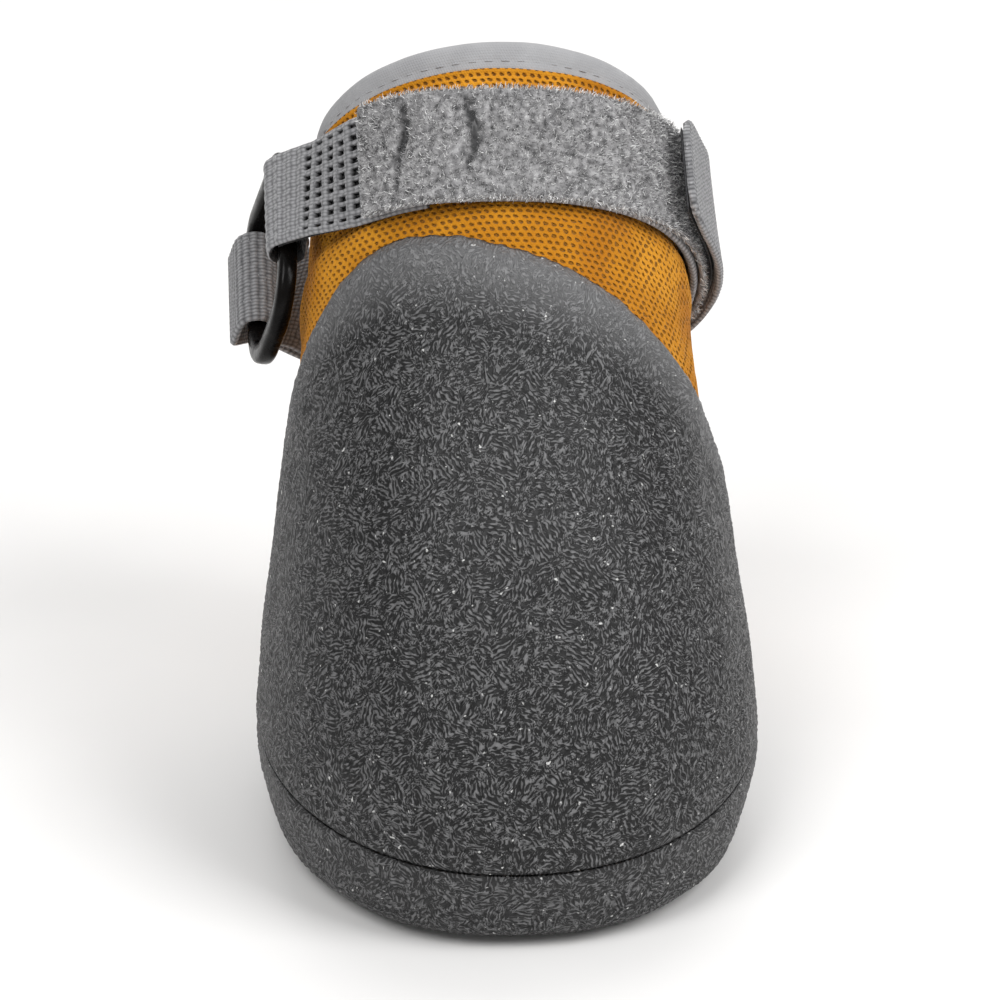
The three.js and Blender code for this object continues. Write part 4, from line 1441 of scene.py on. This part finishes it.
@dataclass
class StrapAndRing:
    """The strap in its four layers, the ring that it runs through, and their stitches."""

    last: Last
    width: float = 15.8
    clearance: float = 0.5
    webbing: float = 1.1
    elastic: float = 1.0
    pile: float = 0.9
    hook: float = 0.7
    hook_margin: float = 1.0
    hook_marks: int = 4
    tab_start: float = 76.0
    tab_length: float = 14.0
    tab_lean: float = math.radians(3)
    # Share of the tab's length and its width there
    tab_end: tuple = ((0.3, 1), (0.6, 0.99), (0.82, 0.94), (0.94, 0.8), (1, 0.56))
    ring_along: float = 21.0
    ring_across: float = 28.5
    ring_drop: float = 2.65
    ring_bar: float = 2.8
    ring_end: float = 3.2
    ring_thickness: float = 2.6
    ring_squareness: float = 0.6
    ring_sides: int = 20
    corner_points: int = 16
    ring_corners: tuple = (5.0, 8.5)
    window_corners: tuple = (2.0, 5.5)
    ring_seat: float = -98.0
    ring_stand_off: float = 5.5
    ring_turn_out: float = 0.24
    ring_hang: float = math.radians(60)
    bar_clearance: float = 0.6
    step: float = 0.34
    elastic_step: float = 0.3
    step_down: float = 0.4
    fold_end: float = 4.0
    elastic_slope: int = 30
    # The elastic's grid: its pitches, the share of them that is open, its cords, and where it starts,
    # by length, and ends and is doubled, by mark
    grid_along: float = 2.5
    grid_across: float = 1.7
    open_along: float = 0.33
    open_across: float = 0.29
    elastic_cells: int = 52
    grid_start: float = 6.0
    grid_end: float = 4.25
    doubled: float = 5.0
    second_layer: float = 0.3
    # Degrees round the boot and millimetres over the mesh, where the strap leaves it for the ring
    slack: tuple = ((194, 2.2), (208, 4.015), (221, 6.215), (234, 7.59))
    pass_degrees: tuple = (-39, -30, -20, -8, 5, 20, 40, 60, 80, 100, 120, 140, 160, 178)
    return_degrees: tuple = (178, 160, 142, 125, 108, 92)
    creases: tuple = (-26.5, -8.5)
    crease_depth: float = 1.25
    crease_reach: float = 1.1
    crease_sway: float = 1.6
    crease_puff: float = 0.5
    hair_count: int = 26000
    hair_share_behind: float = 0.42
    hair_front: float = 65.0
    edge_hairs: float = 0.16
    seed: int = 4
    hook_pitch: float = 1.0
    hook_ground: float = 0.35
    hook_rings: int = 6
    hook_sides: int = 4
    hook_turn: float = math.radians(250)
    hook_reach: float = 0.22
    hook_rise: float = 0.39
    hook_radius: float = 0.1

    def on_boot(self, degrees: float, height: float) -> Station:
        """A station over the mesh.

        Args:
            degrees: Where it is round the boot.
            height: Millimetres over the mesh.

        Returns:
            The station.
        """
        last, angle, step = self.last, np.array(math.radians(degrees)), 0.01
        at = last.layer(last.strap_level(angle), angle, last.mesh_outside - height)
        after = last.point(last.strap_level(angle + step), angle + step)
        along = unit(after - last.point(last.strap_level(angle - step), angle - step))
        out = last.normal(last.strap_level(angle), angle)
        return Station(at, out, unit(np.cross(out, along)))

    def ring_frame(self) -> tuple[np.ndarray, np.ndarray, np.ndarray, np.ndarray]:
        """Where the ring hangs.

        Returns:
            Its centre and its directions along, across and out.
        """
        seat = self.on_boot(self.ring_seat, 0.0)
        along = unit(np.array((-self.ring_turn_out, math.cos(self.ring_hang), -math.sin(self.ring_hang))))
        across = np.array((0.0, math.sin(self.ring_hang), math.cos(self.ring_hang)))
        out = unit(np.cross(across, along))
        return seat.at + out * self.ring_stand_off, along, across, out

    def by_ring(self, bar: Bar, along_by: float, out_by: float, facing: np.ndarray) -> Station:
        """A station counted from the middle of a bar.

        Args:
            bar: Which bar.
            along_by: Millimetres from it along the ring.
            out_by: Millimetres away from the boot.
            facing: Where the strap's face looks.

        Returns:
            The station.
        """
        centre, along, across, out = self.ring_frame()
        reach = (self.ring_along - self.ring_bar) / 2
        return Station(centre + along * (bar.value * reach + along_by) + out * out_by, facing, across)

    def round_bar(self, bar: Bar, degrees: float, thickness: float, sign: int) -> Station:
        """A station on the fold round a bar.

        Args:
            bar: Which bar.
            degrees: 0 on the side away from the boot, and 90 behind the bar.
            thickness: The strap's thickness.
            sign: 1 if the strap's outer face looks away from the bar.

        Returns:
            The station.
        """
        _, along, _, out = self.ring_frame()
        turn = math.radians(degrees)
        radius = self.ring_bar / 2 + self.bar_clearance + thickness / 2
        facing = out * math.cos(turn) + along * math.sin(turn)
        return self.by_ring(bar, radius * math.sin(turn), radius * math.cos(turn), facing * sign)

    @property
    def first_height(self) -> float:
        """Height of the webbing's middle over the mesh."""
        return self.clearance + self.webbing / 2

    @property
    def return_over(self) -> float:
        """How far the second pass lies over the first."""
        return self.webbing + self.pile + self.hook + 3 * self.last.fit

    @property
    def fold_off(self) -> float:
        """How far the webbing's middle is from the middle of the bar that it folds round."""
        return self.ring_bar / 2 + self.bar_clearance + self.webbing / 2

    def elastic_run(self) -> Run:
        """Lays the elastic's line from its sewn end to its fold round the front bar.

        Returns:
            The line.
        """
        lies = self.clearance + self.elastic / 2
        line = ((-22, 0.0), (-31, 0.0), (-39, 0.0), (-46, self.step_down))
        marks = [self.on_boot(degrees, lies + height) for degrees, height in line]
        folds = [
            self.round_bar(Bar.FRONT, turn, self.elastic, 1) for turn in range(-self.elastic_slope, 191, 20)
        ]
        leaves, meets = marks[-1], folds[0]
        halfway = Station((leaves.at + meets.at) / 2, meets.out, unit(leaves.across + meets.across))
        under = -(self.ring_bar / 2 + self.bar_clearance)
        end = self.by_ring(Bar.FRONT, -0.75 * self.fold_end, under, -self.ring_frame()[3])
        return smooth_run([*marks, halfway, *folds, end], self.elastic_step)

    def first_run(self) -> Run:
        """Lays the webbing's first pass, from the front round the back to its fold in the ring.

        Returns:
            The line.
        """
        first, over = self.first_height, self.clearance + self.elastic + self.last.fit + self.webbing / 2
        heights = [over] * 3 + [first + self.step_down] + [first] * 9 + [first + self.step_down]
        out = self.ring_frame()[3]
        marks = [self.on_boot(*place) for place in (*zip(self.pass_degrees, heights), *self.slack)]
        marks.append(self.by_ring(Bar.REAR, self.fold_end, -self.fold_off, out))
        marks += [self.round_bar(Bar.REAR, turn, self.webbing, -1) for turn in range(180, 361, 20)]
        marks.append(self.by_ring(Bar.REAR, self.fold_end, self.fold_off, -out))
        return smooth_run(marks, self.step)

    def return_run(self) -> tuple[Run, int]:
        """Lays the second pass from the ring to the free end.

        Returns:
            The line, and the mark where it leaves the boot.
        """
        height = self.first_height + self.return_over
        marks = [self.by_ring(Bar.REAR, self.fold_end, self.fold_off, self.ring_frame()[3])]
        marks += [self.on_boot(degrees, lift + self.return_over) for degrees, lift in reversed(self.slack)]
        marks += [self.on_boot(degrees, height) for degrees in (*self.return_degrees, self.tab_start)]
        leave = len(marks)
        end = marks[-1]
        forward = unit(np.cross(end.out, end.across))
        turn = -self.tab_lean
        forward = forward * math.cos(turn) + np.cross(end.across, forward) * math.sin(turn)
        for share, wide in self.tab_end:
            marks.append(Station(end.at + forward * share * self.tab_length, end.out, end.across, wide))
        return smooth_run(marks, self.step), leave

    def make_elastic(self) -> None:
        """Builds the open grid elastic: real slots between its cords, and a closed hem."""
        run, cells = self.elastic_run(), self.elastic_cells
        length = run.length()
        middle = (length[:-1] + length[1:]) / 2
        aside = (np.arange(cells) + 0.5) / cells * self.width - self.width / 2
        along = np.abs((middle / self.grid_along) % 1 - 0.5) < self.open_along
        along &= (middle > self.grid_start) & (middle < np.interp(self.grid_end, run.mark, length))
        across = np.abs((aside / self.grid_across + 0.5) % 1 - 0.5) < self.open_across
        across &= np.abs(aside) < self.width / 2 - 1.0

        def cords(lengths: np.ndarray, places: np.ndarray) -> np.ndarray:
            """The round backs of the cords."""
            rounded = 0.10 * np.cos(lengths / self.grid_along * FULL_TURN) - 0.1
            return rounded + 0.08 * np.cos(places / self.grid_across * FULL_TURN)

        grid = Band(run, self.width, self.elastic, cells).make(cords, cords, ~(along[:, None] & across))
        # The second layer of the folded elastic, with its colour painted near black as the shade behind the
        # slots
        behind = run.part(run.mark < self.doubled).lifted(-(self.elastic / 2 + self.second_layer))
        layer = Band(behind, self.width - 0.6, self.second_layer, 12).make()
        layer.flat[:, 2] = 1.0
        grid.joined(layer).piece("strap_elastic_grid", GridElastic(), Slot.ELASTIC, "strap_elastic")

    def ribs(self, length: np.ndarray, aside: np.ndarray) -> np.ndarray:
        """Height of the webbing's ribs across its width, each a row of loops."""
        return 0.07 * np.cos(length / 1.0 * FULL_TURN) - 0.03 * (1 + np.cos(aside / 1.2 * FULL_TURN)) / 2

    def make_webbing(self) -> None:
        """Builds the long strap: first pass, fold and second pass as one."""
        first, (second, _) = self.first_run(), self.return_run()
        pairs = (
            (first.at, second.at), (first.out, -second.out), (first.across, second.across),
            (first.wide, second.wide), (first.mark, second.mark + first.mark[-1]),
        )
        whole = Run(*(np.concatenate((one[:-1], two)) for one, two in pairs))
        strap = Band(whole, self.width, self.webbing, 42).make(self.ribs, self.ribs)
        strap.piece("strap_long_webbing", KnitWebbing(), Slot.WEBBING, "strap_long")

    def pile_run(self) -> tuple[Run, np.ndarray]:
        """Lays the pile's line over the first pass.

        Returns:
            The line, and each station's place in degrees.
        """
        run = self.first_run()
        run = run.part(run.mark <= len(self.pass_degrees))
        line = (*self.pass_degrees, self.slack[0][0])
        degrees = np.interp(run.mark, np.arange(len(line)), line)
        return run.lifted(self.webbing / 2 + self.last.fit + self.pile / 2), degrees

    def crease_lift(self, degrees: np.ndarray, aside: np.ndarray) -> np.ndarray:
        """How far the pile rises between its creases or sinks in them.

        Args:
            degrees: Place round the boot.
            aside: Place across the strap.

        Returns:
            Millimetres.
        """
        share = aside / (self.width / 2)
        middle = sum(self.creases) / 2
        total = self.crease_puff * np.exp(-(((degrees - middle) / 6.0) ** 2)) * (1 - share ** 2 * 0.5)
        # The pits are deepest in the upper half and fade before the lower edge
        deep = self.crease_depth * np.exp(-(((share - 0.25) / 0.62) ** 2))
        for index, crease in enumerate(self.creases):
            bent = crease + self.crease_sway * np.sin(share * 3.4 + index)
            total = total - deep * np.exp(-(((degrees - bent) / self.crease_reach) ** 2))
        return total

    def crease_shade(self, degrees: np.ndarray, aside: np.ndarray) -> np.ndarray:
        """How dark the pits of the creases are, from 0 to 1."""
        return np.clip(-self.crease_lift(degrees, aside) * 1.1, 0, 1)

    def make_pile(self) -> None:
        """Builds the loop pile's ground and its fuzz of short hairs."""
        run, degrees = self.pile_run()
        length = run.length()

        def tufts(lengths: np.ndarray, places: np.ndarray) -> np.ndarray:
            """The lumpy top of the pile.

            Args:
                lengths: Millimetres along the strap.
                places: Millimetres across it.

            Returns:
                Millimetres.
            """
            spots = np.stack((lengths, places, np.zeros_like(lengths)), -1)
            where = np.interp(lengths[:, 0], length, degrees)[:, None]
            lumps = 0.16 * noise_at(spots, 1.0, 2.2) + 0.12 * noise_at(spots, 3.5, 7.2)
            return lumps + self.crease_lift(where, places) - 0.1

        ground = Band(run, self.width, self.pile, 44).make(tufts)
        crease = self.crease_shade(np.interp(ground.flat[:, 0], length, degrees), ground.flat[:, 1])
        mottle = noise_at(ground.flat * (1.0, 1.0, 9.0), 0.8, 4.2)
        ground.relief = np.clip(0.26 + 0.35 * mottle - 0.3 * crease, 0, 1)
        whole = ground.joined(self.hairs(run, degrees))
        whole.piece("loop_strip_pile", LoopPile(), Slot.PILE, "loop_strip")

    def hairs(self, run: Run, degrees: np.ndarray) -> Skin:
        """Short bent hairs over the pile, thickest where the strap is seen in front.

        Args:
            run: The pile's line.
            degrees: Place of each station round the boot.

        Returns:
            The hairs as one skin.
        """
        draw, count = np.random.default_rng(self.seed), self.hair_count
        length = run.length()
        dense = np.interp(np.linspace(0, 1, 4000), np.linspace(0, 1, len(length)), length)
        front = np.interp(dense, length, degrees) < self.hair_front
        share = np.where(front, 1.0, self.hair_share_behind)
        spot = np.interp(draw.random(count), np.cumsum(share) / share.sum(), dense)
        aside = draw.uniform(-1.0, 1.0, count)
        edge = draw.random(count) < self.edge_hairs
        aside = np.where(edge, np.sign(aside) * draw.uniform(0.94, 1.01, count), aside) * self.width / 2
        at, out, across, along = run.spots(spot)
        where = np.interp(spot, length, degrees)
        lift = self.pile / 2 - 0.18 + self.crease_lift(where, aside)
        lift = np.where(edge, draw.uniform(-0.5, 0.45, count), lift)
        root = at + across * aside[:, None] + out * lift[:, None]
        lean = draw.uniform(0, FULL_TURN, count)
        slope = draw.uniform(0.3, 1.2, count)
        way = across * (np.cos(lean) * slope)[:, None] + along * (np.sin(lean) * slope)[:, None] + out
        way = unit(np.where(edge[:, None], way * 0.6 + across * np.sign(aside)[:, None], way))
        crease = self.crease_shade(where, aside)
        half = (draw.uniform(0.35, 0.9, count) * (1 - 0.45 * crease) * 0.5)[:, None]
        curl = unit(np.cross(way, out + draw.normal(0, 0.8, (count, 3))))
        middle = root + way * half
        tip = middle + unit(way + curl * draw.uniform(0.3, 1.1, count)[:, None]) * half
        side = curl * draw.uniform(0.035, 0.06, count)[:, None]
        corners = (root - side, root + side, middle + side, middle - side, tip + side * 0.4, tip - side * 0.4)
        base = np.arange(count)[:, None] * len(corners)
        faces = np.vstack((base + np.array((0, 1, 2, 3)), base + np.array((3, 2, 4, 5)))).tolist()
        # A quarter of the hairs are dark and a fifth pale; those at the edge are a little lighter
        kind = draw.random(count)
        grey = np.where(kind < 0.24, draw.uniform(0.0, 0.15, count), draw.uniform(0.3, 0.6, count))
        grey = np.where(kind > 0.80, draw.uniform(0.75, 1.0, count), grey)
        grey = np.clip(grey * (1 - 0.6 * crease) + np.where(edge, 0.12, 0), 0, 1)
        flat = np.stack((spot, aside, np.zeros(count)), -1)
        return Skin(
            np.stack(corners, 1), faces, np.repeat(flat, len(corners), 0), np.repeat(grey, len(corners))
        )

    def make_hooks(self) -> None:
        """Builds the hook tape's ground and its rows of small hooks."""
        run, leave = self.return_run()
        run = run.part((run.mark >= leave - self.hook_marks) & (run.mark <= leave + 2))
        run = run.lifted(-(self.webbing / 2 + self.last.fit + self.hook / 2))
        width = self.width - 2 * self.hook_margin
        ground = Band(run.lifted((self.hook - self.hook_ground) / 2), width, self.hook_ground, 18).make()
        along_at = np.arange(0.7, run.length()[-1] - 0.5, self.hook_pitch)
        aside_at = np.arange(-width / 2 + 0.6, width / 2 - 0.4, self.hook_pitch)
        spot, aside = (grid.ravel() for grid in np.meshgrid(along_at, aside_at, indexing="ij"))
        at, out, across, along = run.spots(spot)
        foot = at + across * aside[:, None] + out * 0.05
        rings, sides = [], self.hook_sides
        for share in np.linspace(0, 1, self.hook_rings):
            turn = share * self.hook_turn
            bend = along * (self.hook_reach * (1 - math.cos(turn)))
            centre = foot + bend - out * (self.hook_rise * math.sin(turn * 0.72))
            radius = self.hook_radius * (1 - 0.35 * share)
            for around in np.arange(sides) / sides * FULL_TURN:
                rings.append(centre + across * radius * math.cos(around) + along * radius * math.sin(around))
        count = self.hook_rings * sides
        ends = [list(range(sides)), [count - 1 - corner for corner in range(sides)]]
        template = lattice(self.hook_rings, sides, False, True) + ends
        faces = [[hook * count + corner for corner in face] for hook in range(len(spot)) for face in template]
        flat = np.repeat(np.stack((spot, aside, np.zeros(len(spot))), -1), count, 0)
        whole = ground.joined(Skin(np.stack(rings, 1), faces, flat))
        whole.piece("hook_pad_tape", HookTape(), Slot.HOOKS, "hook_pad")

    def outline(self, width: float, height: float, corners: tuple) -> np.ndarray:
        """A rounded rectangle with points at matching places.

        Args:
            width: Size along the ring.
            height: Size across it.
            corners: Radius of its upper corners and of its lower ones.

        Returns:
            Points in the ring's plane.
        """
        arcs = []
        for index, (side, top) in enumerate(((1, 1), (-1, 1), (-1, -1), (1, -1))):
            corner = corners[0] if top > 0 else corners[1]
            turn = np.linspace(index, index + 1, self.corner_points) * math.pi / 2
            x = side * (width / 2 - corner) + corner * np.cos(turn)
            y = top * (height / 2 - corner) + corner * np.sin(turn)
            arcs.append(np.stack((x, y), -1))
        rows = []
        for arc, following in zip(arcs, arcs[1:] + arcs[:1]):
            share = np.linspace(0, 1, 16)[1:-1, None]
            rows += [arc, arc[-1] + (following[0] - arc[-1]) * share]
        return np.vstack(rows)

    def make_ring(self) -> None:
        """Builds the moulded ring: rounded bars and broad rounded ends, hung a little low."""
        centre, along, across, out = self.ring_frame()
        outer = self.outline(self.ring_along, self.ring_across, self.ring_corners)
        window = (self.ring_along - 2 * self.ring_bar, self.ring_across - 2 * self.ring_end)
        inner = self.outline(*window, self.window_corners)
        columns, square = [], self.ring_squareness
        for turn in np.arange(self.ring_sides) / self.ring_sides * FULL_TURN:
            cosine, sine = math.cos(turn), math.sin(turn)
            flat = inner + (outer - inner) * (0.5 + 0.5 * math.copysign(abs(cosine) ** square, cosine))
            height = flat[:, 1:] - self.ring_drop
            lift = self.ring_thickness / 2 * math.copysign(abs(sine) ** square, sine)
            columns.append(centre + flat[:, :1] * along + height * across + out * lift)
        stack = np.stack(columns, 1)
        skin = Skin(stack, lattice(len(outer), self.ring_sides, True, True), stack - centre).outward()
        skin.piece("ring_moulded", MouldedAcetal(), Slot.RING, "ring")

    def make_stitches(self) -> None:
        """Sews the fold behind the ring and the elastic beside its grid."""
        elastic, first = self.elastic_run(), self.first_run()
        # The line that is sewn, the mark of its row of stitches, its thickness and their pitch
        rows = ((elastic, 4.75, self.elastic, 1.7), (first, 17.4, self.webbing, 1.9))
        parts = []
        for line, mark, thickness, pitch in rows:
            index = int(np.argmin(np.abs(line.mark - mark)))
            aside = np.arange(-self.width / 2 + 1.2, self.width / 2 - 1.0, pitch)
            lift = line.out[index] * (thickness / 2 + 0.04)
            at = line.at[index] + np.outer(aside, line.across[index]) + lift
            along, out = (np.broadcast_to(way[index], at.shape) for way in (line.across, line.out))
            parts.append(stitch_skin(at, along, out, pitch * 0.36, 0.15))
        parts[0].joined(parts[1]).piece("strap_stitches", SewingThread(), Slot.WEBBING)


# The studio


@dataclass
class Studio:
    """A pale sweep, soft lights and the camera at the picture's angle."""

    azimuth: float = math.radians(-3.3)
    elevation: float = math.radians(25)
    distance: float = 0.75
    pixels_per_mm: float = 7.2
    image: int = 1000
    sensor: float = 36.0
    target: tuple = (0.0008, -0.001, 0.0452)
    ambient: float = 0.44
    # The paper in metres: how far it comes forward, where its bend starts, the bend, its top and half
    # its width
    sweep_front: float = 2.0
    sweep_start: float = 1.2
    sweep_radius: float = 0.6
    sweep_height: float = 3.0
    sweep_half: float = 2.5
    # Place, size in metres and power in watts
    lamps: tuple = (
        ((-0.45, -0.70, 1.05), 0.6, 8.2),
        ((0.70, -0.50, 0.85), 0.6, 8.2),
        ((0.10, 0.65, 0.95), 0.8, 5.0),
    )

    def make_floor(self) -> None:
        """Lays a sweep that rises behind the boot."""
        start, radius = self.sweep_start, self.sweep_radius
        bend = np.linspace(0.1, 1.57, 14)
        profile = [(-self.sweep_front, 0.0), (start, 0.0)]
        profile += [(start + radius * math.sin(turn), radius - radius * math.cos(turn)) for turn in bend]
        profile.append((start + radius, self.sweep_height))
        ends = (-self.sweep_half, self.sweep_half)
        points = np.array([(x, y, z) for y, z in profile for x in ends]) / MM
        faces = [[2 * row, 2 * row + 1, 2 * row + 3, 2 * row + 2] for row in range(len(profile) - 1)]
        made = Skin(points, faces).to_object("paper_sweep", PaperSweep())

    def make_lights(self) -> None:
        """Hangs soft square lamps and an even sky."""
        for index, (place, size, power) in enumerate(self.lamps):
            lamp = bpy.data.lights.new(f"softbox_{index}", "AREA")
            lamp.size, lamp.energy = size, power
            made = bpy.data.objects.new(lamp.name, lamp)
            made.location = place
            back = Vector(place) - Vector(self.target)
            made.rotation_euler = back.to_track_quat("Z", "Y").to_euler()
            bpy.context.collection.objects.link(made)
        world = bpy.data.worlds.new("even_sky")
        world.use_nodes = True
        sky = world.node_tree.nodes["Background"]
        sky.inputs["Color"].default_value = (1.0, 1.0, 1.0, 1.0)
        sky.inputs["Strength"].default_value = self.ambient
        bpy.context.scene.world = world
        bpy.context.scene.view_settings.view_transform = "Standard"

    def make_camera(self) -> None:
        """Sets the camera so that the one boot fills the frame."""
        shape = bpy.data.cameras.new("camera")
        shape.sensor_width = self.sensor
        shape.lens = self.pixels_per_mm / MM * self.distance / self.image * self.sensor
        shape.clip_start, shape.clip_end = 0.05, 20
        made = bpy.data.objects.new("camera", shape)
        level = math.cos(self.elevation)
        flat = (math.sin(self.azimuth) * level, -math.cos(self.azimuth) * level)
        back = Vector((*flat, math.sin(self.elevation)))
        made.location = Vector(self.target) + back * self.distance
        made.rotation_euler = back.to_track_quat("Z", "Y").to_euler()
        bpy.context.collection.objects.link(made)
        bpy.context.scene.camera = made


def main() -> None:
    """Builds every piece in order."""
    logging.basicConfig(level=logging.INFO, format="%(name)s %(message)s")
    last = Last()
    rubber = RubberShell(last)
    rubber.make_sole()
    rubber.make_cap()
    upper = MeshUpper(last)
    upper.make_upper()
    upper.make_binding()
    upper.make_stitches()
    upper.make_insole()
    strap = StrapAndRing(last)
    strap.make_elastic()
    strap.make_webbing()
    strap.make_pile()
    strap.make_hooks()
    strap.make_ring()
    strap.make_stitches()
    studio = Studio()
    studio.make_floor()
    studio.make_lights()
    studio.make_camera()
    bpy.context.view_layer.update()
    total = sum(len(item.data.polygons) for item in bpy.data.objects if item.type == "MESH")
    log.info("faces in the whole scene: %d", total)


if __name__ == "__main__":
    main()
